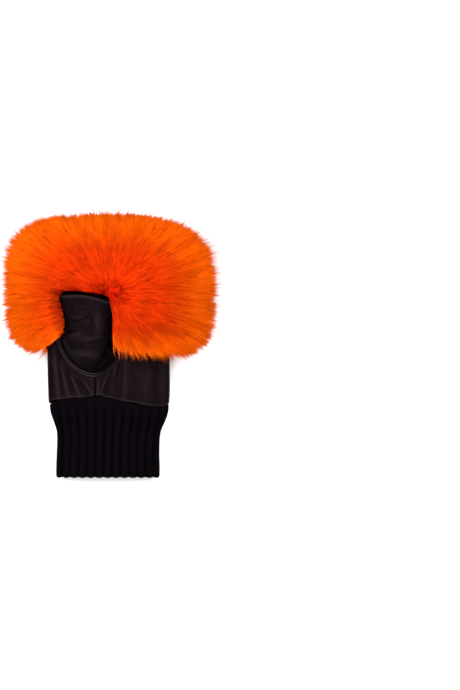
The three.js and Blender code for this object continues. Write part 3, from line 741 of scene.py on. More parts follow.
class GLOVE_OT_leather_hand(bpy.types.Operator):
    """Sews the leather hand, creased and hemmed, with the hole for the thumb."""

    bl_idname = "glove.leather_hand"
    bl_label = "Leather Hand"

    COLUMNS = 180
    HEM_ROWS = (0, 0.35, 0.8, 1.3)
    CLOSE_ROWS = (2, 72, 1.05)  # in sight: from, to and how far apart, in mm from the hem
    WIDE_ROWS = (74, FINGER_END - BACK_HEM, 6)  # under the fur
    RELIEF = 1.7  # by how much the creases are deeper than they are stated
    CREASE_SHADING = 0.15  # how much a crease of 1 mm shows in the leather's colour as painted shade and highlight
    RIM = {"ratio": (0.8, 1.2), "z": 20}  # which corners of the mesh are drawn to the hole's outline
    # From which upward slopes of the surface to which each comes in
    SLOPES = {"closing_seam": (0.1, 0.6), "creases": (0.0, 0.5), "relief": (-0.1, 0.25)}

    def seams(self, point, outward, from_hem):
        """Lift of the surface by its seams in mm, and the painted highlight on their ridges and edges and
        shade in their grooves.
        """
        x, y = point[..., 0], point[..., 1]
        seam, side, edge, stitches = CLOSING_SEAM, SIDE_SEAM, PALM_EDGE, PALM_STITCHES
        palm = smoothstep(*self.SLOPES["closing_seam"], outward[..., 2])
        begun = smoothstep(seam["bottom"], seam["bottom"] + seam["fade"], y)
        length = begun * smoothstep(seam["top"], seam["top"] - seam["fade"], y)
        aside = abs(x - seam["x"])
        groove = bell(aside, seam["width"]) * length * palm
        ridge = bell(aside - seam["ridge_at"], seam["ridge_width"]) * length * palm
        lift = seam["ridge"] * ridge - seam["depth"] * groove
        at_edge = edge["painted_light"] * bell(from_hem - edge["painted_light_at"], edge["painted_light_width"])
        shade_and_highlight = seam["painted_light"] * ridge - seam["dark"] * groove + at_edge
        pucker = side["pucker"] * (0.5 + 0.5 * np.cos(TURN * y / side["pitch"]))
        at_side = bell(outward[..., 2], side["width"])
        lift += at_side * (pucker - side["depth"]) * smoothstep(*side["fade_y"], y)
        lift -= np.where(from_hem < edge["lip"], edge["tuck"] * (1 - from_hem / edge["lip"]) ** 2, 0)
        sewn = stitches["height"] * bell(from_hem - stitches["at"], stitches["width"])
        lift += sewn * np.cos(TURN * x / stitches["pitch"])
        return lift, shade_and_highlight

    def execute(self, context):
        tube = Tube(HAND_SECTIONS, self.COLUMNS)
        columns = np.arange(self.COLUMNS)
        start, _ = tube.at(columns, np.full(self.COLUMNS, float(BACK_HEM)))
        hem = hem_at(start[:, 0], start[:, 2] - column(HAND_SECTIONS, "z", BACK_HEM))
        length = FINGER_END - BACK_HEM
        steps = np.array([*self.HEM_ROWS, *np.arange(*self.CLOSE_ROWS), *np.arange(*self.WIDE_ROWS), length])
        from_hem = steps[:, None] * (FINGER_END - hem) / length
        y = hem + from_hem
        point, outward = tube.at(np.broadcast_to(columns, y.shape), y)
        palm = smoothstep(*self.SLOPES["creases"], outward[..., 2])
        back = smoothstep(*self.SLOPES["creases"], -outward[..., 2])
        lift = crease_height(PALM_CREASES, point[..., 0], y) * palm
        lift += crease_height(BACK_CREASES, point[..., 0], y) * back
        # painted shade in sinking creases and painted highlight on swelling ones, in the leather's colour
        relief = FLAT + self.CREASE_SHADING * lift
        lift *= self.RELIEF
        lift += swells(point, HAND_SWELLS)
        lift *= smoothstep(0, PLAIN_EDGE, from_hem)
        lift *= smoothstep(*self.SLOPES["relief"], abs(outward[..., 2]))
        seams, painted_light = self.seams(point, outward, from_hem)
        lift += seams
        bm = sheet_of(point + outward * lift[..., None], relief + painted_light, loop=False)
        self.cut_hole(bm)
        piece = new_piece("leather_hand", bm, material_named("Leather", leather_material))
        wall = piece.modifiers.new("Leather wall", "SOLIDIFY")
        wall.thickness = context.scene.glove_sizes.leather_wall
        wall.offset = -1
        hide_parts("leather_body")
        return {"FINISHED"}

    def cut_hole(self, bm):
        """Opens the palm under the thumb, with its edge drawn to the hole's outline."""
        def ratio(co):
            along = co.y / MM - THUMB_HOLE["y"]
            aside = co.x / MM - THUMB_HOLE["x"] - THUMB_HOLE["shear"] * along
            return math.hypot(aside / THUMB_HOLE["width"], along / THUMB_HOLE["length"])

        palm_side = [f for f in bm.faces if f.normal.z > 0]
        inside = [f for f in palm_side if ratio(f.calc_center_median()) < 1]
        bmesh.ops.delete(bm, geom=inside, context="FACES")
        low, high = self.RIM["ratio"]
        around = [v for v in bm.verts if v.is_boundary and v.co.z > self.RIM["z"] * MM]
        for vert in [v for v in around if low < ratio(v.co) < high]:
            r = ratio(vert.co)
            along = (vert.co.y / MM - THUMB_HOLE["y"]) / r
            aside = (vert.co.x / MM - THUMB_HOLE["x"] - THUMB_HOLE["shear"] * along * r) / r
            vert.co.x = (THUMB_HOLE["x"] + aside + THUMB_HOLE["shear"] * along) * MM
            vert.co.y = (THUMB_HOLE["y"] + along) * MM


class GLOVE_OT_thumb(bpy.types.Operator):
    """Sews the open thumb, from its welt on the palm to the hemmed mouth."""

    bl_idname = "glove.thumb"
    bl_label = "Thumb"

    COLUMNS = 120
    ANGLES = np.arange(COLUMNS) / COLUMNS * TURN
    TUBE_ROWS = 64
    INNER_ROWS = 14
    WALL = 1.3
    FOOT_HEIGHT = 0.9  # over the palm, where the tube comes out of the welt
    GAP = 0.35  # between the inside of the foot and the hole's outline
    SUNK = 0.2  # how far under the palm's surface its inside begins
    CREASED = (-0.1, 0.4)  # from which upward slope to which the creases come in
    CREASE_SHADING = 0.22  # how much a crease of 1 mm shows in the leather's colour as painted shade and highlight

    def welt(self, reach, height):
        """A ring of the welt, which fades away at the side of the cleft, and its painted shade low down and
        highlight on top.
        """
        fade = WELT_FADE
        faded = smoothstep(*fade["cosine"], np.cos(self.ANGLES + fade["turn"]))
        lower = faded * (fade["share"] * height + fade["sink"] * (reach < 1))
        ring = self.foot(reach * (1 - fade["share"] * faded), height - lower)
        return ring, FLAT * smoothstep(0, 0.8, height) + (0.5 * smoothstep(*WELT_HIGHLIGHT, height) * (1 - faded))

    def foot(self, reach, height):
        """A ring round the hole, by its reach beyond the hole and its height over the palm."""
        along = (THUMB_HOLE["length"] + reach) * np.sin(self.ANGLES)
        aside = (THUMB_HOLE["width"] + reach) * np.cos(self.ANGLES) + THUMB_HOLE["shear"] * along
        x, y = THUMB_HOLE["x"] + aside, THUMB_HOLE["y"] + along
        return np.stack([x, y, leather_height(x, y, 1) + height], axis=1)

    def ring(self, row, grown):
        """A ring of the thumb at one of its sections, wider than that by some mm."""
        across = np.array([row["back_y"] - row["front_y"], row["back_z"] - row["front_z"]], float)
        half = np.linalg.norm(across) / 2
        across /= 2 * half
        late = row["arch"] / THUMB_SECTIONS[-1]["arch"]
        x = (row["width"] + grown) * np.cos(self.ANGLES)
        along = (half + grown) * np.sin(self.ANGLES)
        skew = THUMB_HOLE["shear"] * across[0] * along * (1 - late)
        lift = row["arch"] * np.sin(self.ANGLES) ** 2 + THUMB_TIP_SLOPE * x * late
        y = (row["front_y"] + row["back_y"]) / 2 + across[0] * along + lift
        z = (row["front_z"] + row["back_z"]) / 2 + across[1] * along
        return np.stack([row["x"] + x + skew, y, z], axis=1)

    def tube(self, knots, rows):
        """Rings along a smooth curve through the knot rings, and how far each is from the last."""
        gaps = np.linalg.norm(np.diff(knots, axis=0), axis=2).mean(axis=1)
        places = np.concatenate([[0], np.cumsum(gaps)])
        slopes = np.gradient(knots, places, axis=0)
        wanted = np.linspace(0, places[-1], rows)
        i = np.clip(np.searchsorted(places, wanted) - 1, 0, len(places) - 2)
        span = (places[i + 1] - places[i])[:, None, None]
        t = (wanted - places[i])[:, None, None] / span
        return smooth_between(knots, slopes, i, span, t), places[-1] - wanted

    def execute(self, context):
        hem = context.scene.glove_sizes.thumb_hem / MM
        welt, painted_light = zip(*(self.welt(row["reach"], row["height"]) for row in WELT_RINGS))
        knots = np.array([self.foot(0, self.FOOT_HEIGHT), *(self.ring(row, 0) for row in THUMB_SECTIONS)])
        rings, to_mouth = self.tube(knots, self.TUBE_ROWS)
        normals = surface_normals(rings)
        front = smoothstep(*self.CREASED, normals[..., 2])
        lift = crease_height(THUMB_CREASES, rings[..., 0], rings[..., 1]) * front
        # painted shade in the thumb's dents and painted highlight on its crests, in the leather's colour
        relief = FLAT + self.CREASE_SHADING * lift
        from_foot = to_mouth[0] - to_mouth
        lift += swells(rings, THUMB_SWELLS)
        cleft = [
            {"x0": x0, "y0": y0, "x1": x1, "y1": y1, **CLEFT}
            for (x0, y0), (x1, y1) in zip(THUMB_CLEFT, THUMB_CLEFT[1:])
        ]
        sunk = crease_height(cleft, rings[..., 0], rings[..., 1])
        # painted shade in the cleft
        relief += self.CREASE_SHADING * sunk
        lift += sunk * smoothstep(*CLEFT_FADE["from_foot"], from_foot)[:, None]
        lift *= smoothstep(0, PLAIN_EDGE, to_mouth)[:, None]
        turned = smoothstep(hem + THUMB_HEM["edge"], hem - THUMB_HEM["edge"], to_mouth)
        stitched = bell(to_mouth - hem, THUMB_HEM["width"])
        # painted highlight on the mouth's edge and painted shade along the hem's stitching
        lit_mouth_edge = THUMB_MOUTH["painted_light"] * bell(to_mouth - THUMB_MOUTH["painted_light_at"], THUMB_MOUTH["painted_light_width"])
        lift += (THUMB_HEM["lift"] * turned - THUMB_HEM["stitches"] * stitched)[:, None]
        relief += (lit_mouth_edge - THUMB_HEM["dark"] * stitched)[:, None]
        outer = rings + normals * lift[..., None]
        knots = np.array([self.ring(row, -self.WALL) for row in THUMB_SECTIONS])
        inner, _ = self.tube(knots, self.INNER_ROWS)
        begun = smoothstep(*CLEFT_FADE["inner_z"], inner[..., 2])
        sunk = crease_height(cleft, inner[..., 0], inner[..., 1]) * begun
        inner += surface_normals(inner) * sunk[..., None]
        mouth = []
        for t in THUMB_MOUTH["rows"]:
            bulge = np.array([0, THUMB_MOUTH["round"] * math.sin(math.pi * t), 0])
            mouth.append(outer[-1] * (1 - t) + inner[-1] * t + bulge)
        under = [
            self.foot(reach - self.GAP, height)
            for reach, height in ((-self.WALL, -self.WALL), (0, -self.WALL), (0, -self.SUNK))
        ]
        rows = np.array([*welt, *outer, *mouth, *inner[::-1], *under])
        plain = np.full((len(mouth) + len(inner) + len(under), self.COLUMNS), FLAT)
        bm = sheet_of(rows, np.concatenate([painted_light, relief, plain]), loop=True)
        piece = new_piece("leather_thumb", bm, material_named("Leather", leather_material))
        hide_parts("thumb_stub")
        return {"FINISHED"}


def squared_edge(oval, height, power, angle):
    """The edge of a squared oval, in plan, at angles round its middle."""
    c, s = np.cos(angle), np.sin(angle)
    reach = ((abs(c) / oval["width"]) ** power + (abs(s) / height) ** power) ** (-1 / power)
    return np.stack([oval["x"] + reach * c, oval["y"] + reach * s], axis=-1)


def outline_edge(angle):
    """The rim of the pile."""
    height, power = np.array(FUR_QUADRANTS, float)[(angle / TURN * 4).astype(int) % 4].T
    return squared_edge(FUR_OUTLINE, height, power, angle)


def sleeve_edge(angle):
    """The rim of the sleeve that the hair is rooted in."""
    return squared_edge(SLEEVE, SLEEVE["height"], SLEEVE["power"], angle)


def edge_height(tip, rise):
    """Height of the pile's rim, which comes down to the leather over the hand."""
    over_hand = 1 - smoothstep(*PILE_EDGE["hand_x"], abs(tip[..., 0]))
    at_wrist = 1 - smoothstep(*PILE_EDGE["wrist_y"], tip[..., 1])
    at_end = smoothstep(*PILE_EDGE["end_y"], tip[..., 1])
    near = leather_height(tip[..., 0], tip[..., 1], rise) + rise * PILE_EDGE["above"]
    return PILE_EDGE["middle"] + (near - PILE_EDGE["middle"]) * over_hand * np.maximum(at_wrist, at_end)


def bare_palm_sides():
    """The sides of the outline of thumb and bare leather, as pairs of corners."""
    return zip(BARE_PALM, BARE_PALM[1:] + BARE_PALM[:1])


def inside_bare_palm(x, y):
    """Which places in plan lie inside the outline of thumb and bare leather."""
    inside = np.zeros(x.shape, bool)
    for (x0, y0), (x1, y1) in bare_palm_sides():
        if y0 == y1:
            continue
        crosses = (y0 > y) != (y1 > y)
        inside ^= crosses & (x < (x1 - x0) * (y - y0) / (y1 - y0) + x0)
    return inside


def from_bare_palm(x, y):
    """How far places in plan are from the outline of thumb and bare leather, in mm, and 0 inside it."""
    nearest = np.full(x.shape, np.inf)
    for (x0, y0), (x1, y1) in bare_palm_sides():
        run = np.array([x1 - x0, y1 - y0])
        along = np.clip(((x - x0) * run[0] + (y - y0) * run[1]) / (run @ run), 0, 1)
        nearest = np.minimum(nearest, np.hypot(x - x0 - along * run[0], y - y0 - along * run[1]))
    return np.where(inside_bare_palm(x, y), 0, nearest)


def thumb_shade(x, y):
    """How dark the hair is at places in plan for being close to the thumb, from 0 to 1."""
    near = np.exp(-from_bare_palm(x, y) / THUMB_SHADE["reach"]) * smoothstep(*THUMB_SHADE["y"], y)
    off_parting = np.hypot(x - PALM_PARTING["x"], y - PALM_PARTING["y"])
    return THUMB_SHADE["most"] * near * smoothstep(*THUMB_SHADE["parting"], off_parting)


def grown_outline(points, distances):
    """An outline with every corner moved outwards by its own distance."""
    corner = np.array(points, float)
    area = np.sum(corner[:, 0] * np.roll(corner[:, 1], -1) - np.roll(corner[:, 0], -1) * corner[:, 1])
    side = np.roll(corner, -1, axis=0) - corner
    normal = np.stack([side[:, 1], -side[:, 0]], axis=1) / np.linalg.norm(side, axis=1, keepdims=True)
    normal *= math.copysign(1, area)
    both = normal + np.roll(normal, 1, axis=0)
    mitre = both / np.maximum(np.sum(both * both, axis=1, keepdims=True) / 2, 0.5)
    return corner + np.array(distances)[:, None] * mitre


def hair_lines(parting, angle, share, uneven=None):
    """Root, bend and tip in mm of the hairs at angles round a parting and shares of the way to the rim.

    Unevenness, a shift in plan for each hair, makes them avoid the bare palm, by a border that is uneven by
    as much. One that has it on its way is rooted past it. The last results are how much of each hair there
    is, and is 0 for one that has no place, and its tip's share.
    """
    centre = np.array([parting["x"], parting["y"]])
    root = centre + (sleeve_edge(angle) - centre) * share[:, None]
    reach = LEAST_TIP_SHARE + (1 - LEAST_TIP_SHARE) * share**TIP_CROWDING
    edge = outline_edge(angle)
    tip = centre + (edge - centre) * reach[:, None]
    length = np.ones(len(angle))
    climb = np.full(len(angle), BEND["climb"])
    if uneven is not None:
        path = root[:, None] + (tip - root)[:, None] * np.linspace(0, 1, PATH_STEPS + 1)[:, None]
        tested = path + uneven[:, None]
        inside = inside_bare_palm(tested[..., 0], tested[..., 1])
        ends_inside = inside[:, -1]
        # One that runs into the bare palm is cut short there
        entry = PATH_STEPS - np.argmax(~inside[:, ::-1], axis=1)
        length = np.where(ends_inside, entry / PATH_STEPS, 1.0)
        length[inside.all(axis=1) | (length < STUB)] = 0
        # One that crosses it is rooted where it comes out, and runs on from there
        crosses = inside.any(axis=1) & ~ends_inside
        out = np.minimum(PATH_STEPS + 1 - np.argmax(inside[:, ::-1], axis=1), PATH_STEPS)
        border = path[np.arange(len(angle)), out]
        past = np.linalg.norm(tip - border, axis=1) / np.maximum(np.linalg.norm(edge - border, axis=1), 1)
        onward = border + (edge - border) * (LEAST_RUN + (1 - LEAST_RUN) * np.clip(past, 0, 1))[:, None]
        root = np.where(crosses[:, None], border, root)
        tip = np.where(crosses[:, None], onward, tip)
        low = crosses & (root[:, 1] < SLEEVE_START)
        length[low & (root[:, 0] > SLEEVE["x"])] = 0
        low_y = LOW_ROOTS["y"] + LOW_ROOTS["spread"] * share[low]
        root[low] = np.stack([np.full_like(low_y, LOW_ROOTS["x"]), low_y], axis=1)
        climb[crosses & (root[:, 0] < SLEEVE["x"])] = BORDER_HAIR["climb"]
        way = np.linalg.norm(tip - centre, axis=1) / np.linalg.norm(edge - centre, axis=1)
        way = np.clip((way - LEAST_TIP_SHARE) / (1 - LEAST_TIP_SHARE), 0, 1) ** (1 / TIP_CROWDING)
        share = np.where(crosses, way, share)
        root = np.where(crosses[:, None], root - BORDER_HAIR["hidden"] * (tip - root), root)
    blunt = BLUNT["least"] + BLUNT["more"] * smoothstep(*BLUNT["from"], abs(np.sin(angle)))
    rim = edge_height(tip, parting["rise"])
    tip_z = rim + (parting["crown"] - rim) * np.maximum(1 - share**blunt, 0) ** (1 / blunt)
    root_z = leather_height(root[:, 0], root[:, 1], parting["rise"], ROOT_HEIGHT)
    root_z[climb < BEND["climb"]] += BORDER_HAIR["root"]
    start = np.column_stack([root, root_z])
    end = np.column_stack([tip, tip_z])
    bend = start + (end - start) * BEND["along"]
    bend[:, 2] = start[:, 2] + (end[:, 2] - start[:, 2]) * climb + BEND["lift"] * parting["rise"]
    return start, bend, end, length, share


def on_curve(start, bend, end, t):
    """Points and directions on quadratic curves, with one t for each."""
    t = t[:, None]
    point = start * (1 - t) ** 2 + bend * 2 * t * (1 - t) + end * t**2
    ahead = (bend - start) * (1 - t) + (end - bend) * t
    return point, ahead / np.linalg.norm(ahead, axis=1, keepdims=True)


class GLOVE_OT_undercoat(bpy.types.Operator):
    """Makes the fur's dense undercoat, open for the hand and clear of the thumb."""

    bl_idname = "glove.undercoat"
    bl_label = "Fur Undercoat"

    AROUND = 128
    LATITUDES = 61
    REACH = (0.35, 0.76)  # how far along the hair it comes, at the parting and at the rim
    # Over the leather beside the bare palm, how much more beside the thumb, and its slope from there
    BORDER = {"height": 4, "more": 6, "thumb_y": (2, 16), "climb": 0.95}
    INSET = {"thumb": 0.2, "wrist": 4.0, "wrist_y": 9}  # how far it stays behind the hair's border, in mm
    LEAST_SHARE = 0.02  # how close to the parting its middle comes
    LOWEST = 1.0  # its height over the floor, in mm
    RIPPLES = {"around": 44, "sway": 2, "sways": 4, "from": (0.1, 0.5), "depth": 0.04}
    # What is cut out of it for the hand and for thumb and palm, in mm
    HAND_ROWS = (-60, -40, -20, 0, 18, 36, 62, FINGER_END, 130)
    HAND_COLUMNS = 64
    CLEARANCE = 1
    BLOCK = {"bottom": 24, "height": 70}

    def execute(self, context):
        bm = bmesh.new()
        bmesh.ops.create_uvsphere(bm, u_segments=self.AROUND, v_segments=self.LATITUDES, radius=1.0)
        sphere = np.array([v.co for v in bm.verts])
        latitude = np.degrees(np.arcsin(np.clip(sphere[:, 2], -1, 1)))
        least = 90 / self.LATITUDES
        share = np.clip(1 - (abs(latitude) - least) / (90 - least), self.LEAST_SHARE, 1)
        angle = np.arctan2(sphere[:, 1], sphere[:, 0]) % TURN
        places = np.zeros_like(sphere)
        for parting, half in ((PALM_PARTING, latitude > 0), (BACK_PARTING, latitude <= 0)):
            start, bend, end, *_ = hair_lines(parting, angle[half], share[half])
            reach = self.REACH[0] + (self.REACH[1] - self.REACH[0]) * share[half]
            sway = self.RIPPLES["sway"] * np.sin(self.RIPPLES["sways"] * share[half])
            ripple = np.sin(self.RIPPLES["around"] * angle[half] + sway)
            ripple *= smoothstep(*self.RIPPLES["from"], share[half])
            places[half], _ = on_curve(start, bend, end, reach + self.RIPPLES["depth"] * ripple)
        places[:, 2] = np.maximum(places[:, 2], self.LOWEST)
        palm = latitude > 0
        x, y, z = places[palm].T
        border = self.BORDER["height"] + self.BORDER["more"] * smoothstep(*self.BORDER["thumb_y"], y)
        slope = leather_height(x, y, 1) + border + self.BORDER["climb"] * from_bare_palm(x, y)
        places[palm, 2] = np.minimum(z, np.maximum(slope, PILE_EDGE["middle"]))
        for vert, place in zip(bm.verts, places):
            vert.co = Vector(place) * MM
        bmesh.ops.recalc_face_normals(bm, faces=bm.faces)
        material = material_named("Faux fur undercoat", undercoat_material)
        piece = new_piece("fur_undercoat", bm, material)
        self.cut(context, piece, [self.hand_space(), self.thumb_space()])
        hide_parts("fur_trim")
        return {"FINISHED"}

    def hand_space(self):
        """A closed tube a little wider than the leather, run out past the fingers."""
        bm = bmesh.new()
        ring = bmesh.ops.create_circle(bm, segments=self.HAND_COLUMNS, radius=1, cap_ends=True)["verts"]
        for y in self.HAND_ROWS:
            at = min(y, FINGER_END)
            if y != self.HAND_ROWS[0]:
                caps = [f for f in bm.faces if len(f.verts) == self.HAND_COLUMNS]
                last = max(caps, key=lambda f: f.calc_center_median().y)
                grown = bmesh.ops.extrude_discrete_faces(bm, faces=[last])["faces"][0]
                ring = [loop.vert for loop in grown.loops]
            width, height = [column(HAND_SECTIONS, key, at) + self.CLEARANCE for key in ("width", "height")]
            even, _ = even_oval(width, height, self.HAND_COLUMNS)
            for i, vert in enumerate(ring):
                x = even[i, 0] + column(HAND_SECTIONS, "x", at)
                z = even[i, 1] + column(HAND_SECTIONS, "z", at)
                vert.co = Vector((x, y, z)) * MM
        bmesh.ops.recalc_face_normals(bm, faces=bm.faces)
        return bm

    def thumb_space(self):
        """The thumb's outline and the bare leather, as an upright block."""
        bm = bmesh.new()
        inset = [self.INSET["wrist" if y < self.INSET["wrist_y"] else "thumb"] for _, y in BARE_PALM]
        bottom = self.BLOCK["bottom"] * MM
        corners = [bm.verts.new((x * MM, y * MM, bottom)) for x, y in grown_outline(BARE_PALM, inset)]
        face = bm.faces.new(corners)
        raised = bmesh.ops.extrude_face_region(bm, geom=[face])["geom"]
        tops = [item for item in raised if isinstance(item, bmesh.types.BMVert)]
        bmesh.ops.translate(bm, verts=tops, vec=(0, 0, self.BLOCK["height"] * MM))
        bmesh.ops.recalc_face_normals(bm, faces=bm.faces)
        return bm

    def cut(self, context, piece, tools):
        """Cuts the tools out of a piece and keeps the result as its mesh."""
        helpers = []
        for bm in tools:
            mesh = bpy.data.meshes.new("cutter")
            bm.to_mesh(mesh)
            bm.free()
            helper = bpy.data.objects.new("cutter", mesh)
            context.scene.collection.objects.link(helper)
            helpers.append(helper)
            cut = piece.modifiers.new("Cut", "BOOLEAN")
            cut.operation = "DIFFERENCE"
            cut.solver = "EXACT"
            cut.object = helper
        depsgraph = context.evaluated_depsgraph_get()
        result = bpy.data.meshes.new_from_object(piece.evaluated_get(depsgraph))
        piece.modifiers.clear()
        old, piece.data = piece.data, result
        bpy.data.meshes.remove(old)
        for helper in helpers:
            mesh = helper.data
            bpy.data.objects.remove(helper)
            bpy.data.meshes.remove(mesh)


class GLOVE_OT_pile(bpy.types.Operator):
    """Grows the fur's hair in tufts, combed outwards from the two partings."""

    bl_idname = "glove.pile"
    bl_label = "Fur Pile"

    PIECES = 3  # of each kind of hair
    BENT = {"steps": (0.3, 0.66, 1.0), "widths": (1.0, 0.8, 0.0), "spread": 1.0, "guard_hairs": 0.01}
    FINE = {"steps": (0.54, 1.0), "widths": (0.8, 0.0), "spread": 1.25, "guard_hairs": 0.055}
    GUARD = {"least": 1.5, "more": 7.0, "thicker": 0.3}  # by how many mm a guard hair passes the others
    RIM = 0.8  # the share of the way to the rim from which tufts are pointed
    RIM_TUFTS = {"part": 0.25, "within": 0.1}  # which part of the tufts is set close to the rim
    WHORL_TUFTS = {"part": 0.06, "within": 0.12}  # and to the parting
    SHORT_TUFTS = {"within": 0.3, "least": 0.2, "least_in_whorl": 0.08}  # how short the tufts there are
    UNEVEN = {"angle": 0.02, "rim": 0.05}  # in radians, and of the length of the tufts at the rim
    COMBED = (11, 11, 2.5)  # how fast the tone changes round the parting and outwards
    TUFT_END = {"least": 0.4, "most": 0.8, "at_rim": 0.6}  # the width of a tuft's end to that of its base
    TUFT_DEPTH = 0.8  # to its width
    SHORTER = {"at_rim": 0.05, "inside": 0.2}  # what hairs lack of a tuft's length, at most
    OVER_FLOOR = {"least": 0.5, "more": 0.9}  # where the hair of the back lies, in mm
    RIM_TONE = (0.24, 1.0)  # between which shares of the way to the rim the hair's colour changes
    WISPS = {"below": 0.94, "part": 0.3, "longer": 0.7}  # of the tufts that the bare palm cuts short
    STRAY = {"spread": 0.5, "more": 2.4}  # in mm, and how many times more for guard hairs and wisps
    SIDES = ((0, 1), (1, 2), (2, 0))  # of a hair, by its corners
    # A hair's first side in its cell of the bake map, how far the next is from it, and the gap between rings
    CELL = {"left": 0.05, "right": 0.33, "pitch": 0.31, "levels": (0.14, 0.94), "gap": 0.01}

    def tufts(self, rng, parting, count, avoid):
        """The lines of the tufts, spread evenly over the pile's face and thicker at its rim."""
        least = LEAST_TIP_SHARE**2
        face = (least + (1 - least) * (np.arange(count) + rng.random(count)) / count) ** 0.5
        share = ((face - LEAST_TIP_SHARE) / (1 - LEAST_TIP_SHARE)) ** (1 / TIP_CROWDING)
        angle = (np.arange(count) * GOLDEN_ANGLE + rng.normal(0, self.UNEVEN["angle"], count)) % TURN
        rim = rng.random(count) < self.RIM_TUFTS["part"]
        share[rim] = 1 - self.RIM_TUFTS["within"] * rng.random(rim.sum()) ** 1.5
        whorl = rng.random(count) < self.WHORL_TUFTS["part"]
        share[whorl] = self.WHORL_TUFTS["within"] * rng.random(whorl.sum())
        uneven = rng.normal(0, BORDER_UNEVEN["all_round"], (count, 2))
        uneven *= np.where(np.sin(angle) < BORDER_UNEVEN["low_from"], BORDER_UNEVEN["low"], 1)[:, None]
        start, bend, end, length, share = hair_lines(parting, angle, share, uneven if avoid else None)
        # Round the parting there are short tufts too
        least_length = np.where(whorl, self.SHORT_TUFTS["least_in_whorl"], self.SHORT_TUFTS["least"])
        shorter = rng.uniform(least_length, 1, count) ** 0.7
        length = length * np.where(share < self.SHORT_TUFTS["within"], shorter, 1)
        length = length * np.where(share > self.RIM, 1 - self.UNEVEN["rim"] * rng.random(count), 1)
        combed = noise_at(np.column_stack([np.cos(angle), np.sin(angle), share]), self.COMBED)
        tone = 0.5 * rng.random(count) + 0.5 * smoothstep(-0.4, 0.4, combed)
        keep = length > 0
        return [part[keep] for part in (start, bend, end, share, length, tone)]

    def hairs(self, rng, lines, parting, settings, kind, hairs):
        """Corner points of each hair of the tufts, its middle line, its tone and how near the rim it is."""
        start, bend, end, share, reach, tuft_tone = [np.repeat(part, hairs, axis=0) for part in lines]
        count = len(share)
        tuft = rng.normal(0, settings.tuft / MM / 1.6 * kind["spread"], (count, 2))
        at_rim = share > self.RIM
        kept = rng.uniform(self.TUFT_END["least"], self.TUFT_END["most"], (count, 1))
        kept *= np.where(at_rim, self.TUFT_END["at_rim"], 1)[:, None]
        shorter = np.where(at_rim, self.SHORTER["at_rim"], self.SHORTER["inside"])
        length = 1.01 - shorter * rng.random(count) ** 1.4
        guard = rng.random(count) < kind["guard_hairs"]
        longer = self.GUARD["least"] + self.GUARD["more"] * rng.random(guard.sum()) ** 2
        length[guard] = 1 + longer / np.linalg.norm(end[guard] - start[guard], axis=1)
        wisp = (reach < self.WISPS["below"]) & (rng.random(count) < self.WISPS["part"])
        reach = np.where(wisp, np.minimum(reach + self.WISPS["longer"] * rng.random(count), 1), reach)
        stray = rng.normal(0, self.STRAY["spread"], (count, 2))
        stray *= 1 + self.STRAY["more"] * (guard | wisp)[:, None]
        rings, middles = [], []
        for step, width in zip(kind["steps"], kind["widths"]):
            point, ahead = on_curve(start, bend, end, step * length * reach)
            across = np.cross(np.array([0, 0, 1.0]), ahead)
            across /= np.maximum(np.linalg.norm(across, axis=1, keepdims=True), 1e-6)
            above = np.cross(ahead, across)
            spread = tuft * (1 - (1 - kept) * step**1.3) + stray * step**2
            middle = point + across * spread[:, :1] + above * spread[:, 1:] * self.TUFT_DEPTH
            if parting["rise"] < 0:
                lowest = self.OVER_FLOOR["least"] + self.OVER_FLOOR["more"] * rng.random(count)
                middle[:, 2] = np.maximum(middle[:, 2], lowest)
            middles.append(middle)
            size = settings.hair / MM / 2 * width * (1 + self.GUARD["thicker"] * guard)[:, None]
            for corner in range(3 if width else 1):
                turn = TURN * corner / 3 + 0.5
                rings.append(middle + (across * math.cos(turn) + above * math.sin(turn)) * size)
        middles = np.stack(middles, axis=1)
        tone = np.where(guard, 0, 0.5 * tuft_tone + 0.5 * rng.random(count))[:, None]
        # painted shade: on the palm side the hair's tone is darkened close to the thumb
        if parting["rise"] > 0:
            tone = tone * (1 - thumb_shade(middles[..., 0], middles[..., 1]))
        tone = np.broadcast_to(tone, middles.shape[:2])
        return np.stack(rings, axis=1), middles, tone, share

    def execute(self, context):
        settings = context.scene.glove_pile
        rng = np.random.default_rng(settings.seed)
        sides = []
        for parting, count, avoid in (
            (PALM_PARTING, settings.palm_tufts, True),
            (BACK_PARTING, settings.back_tufts, False),
        ):
            sides.append((parting, avoid, self.tufts(rng, parting, count, avoid)))
        for name, kind, hairs in (
            ("pile", self.BENT, settings.hairs),
            ("fine_pile", self.FINE, settings.fine_hairs),
        ):
            grown = []
            for parting, avoid, lines in sides:
                points, middles, tone, share = self.hairs(rng, lines, parting, settings, kind, hairs)
                if avoid:
                    clear = self.clear_of_palm(rng, middles)
                    points, tone, share = points[clear], tone[clear], share[clear]
                grown.append((points, tone, share))
            points, tone, share = [np.concatenate(part) for part in zip(*grown)]
            order = rng.permutation(len(points))
            for k, part in enumerate(np.array_split(order, self.PIECES)):
                self.piece(f"fur_{name}_{k + 1}", kind, points[part], tone[part], share[part])
        return {"FINISHED"}

    def clear_of_palm(self, rng, middles):
        """Which hairs stay out of the bare palm, apart from wisps over its border."""
        x, y = middles[..., 0], middles[..., 1]
        wisps = (x > 0) & (y < OVERHANG["wisps_below_y"])
        over = rng.random(len(middles))[:, None] * np.where(wisps, OVERHANG["wisps"], OVERHANG["strays"])
        left = x < OVERHANG["left_of_x"]
        return ~inside_bare_palm(x - np.where(left, over, 0), y + np.where(left, 0, over)).any(axis=1)

    def faces(self, rings):
        """Triangles of one closed hair with a root, one or two rings and a point, outwards."""
        faces = [(2, 1, 0)]
        for low in range(0, 3 * (rings - 1), 3):
            for a, b in self.SIDES:
                faces += [(low + a, low + b, low + 3 + b), (low + a, low + 3 + b, low + 3 + a)]
        top = 3 * (rings - 1)
        faces += [(top + a, top + b, top + 3) for a, b in self.SIDES]
        return np.array(faces)

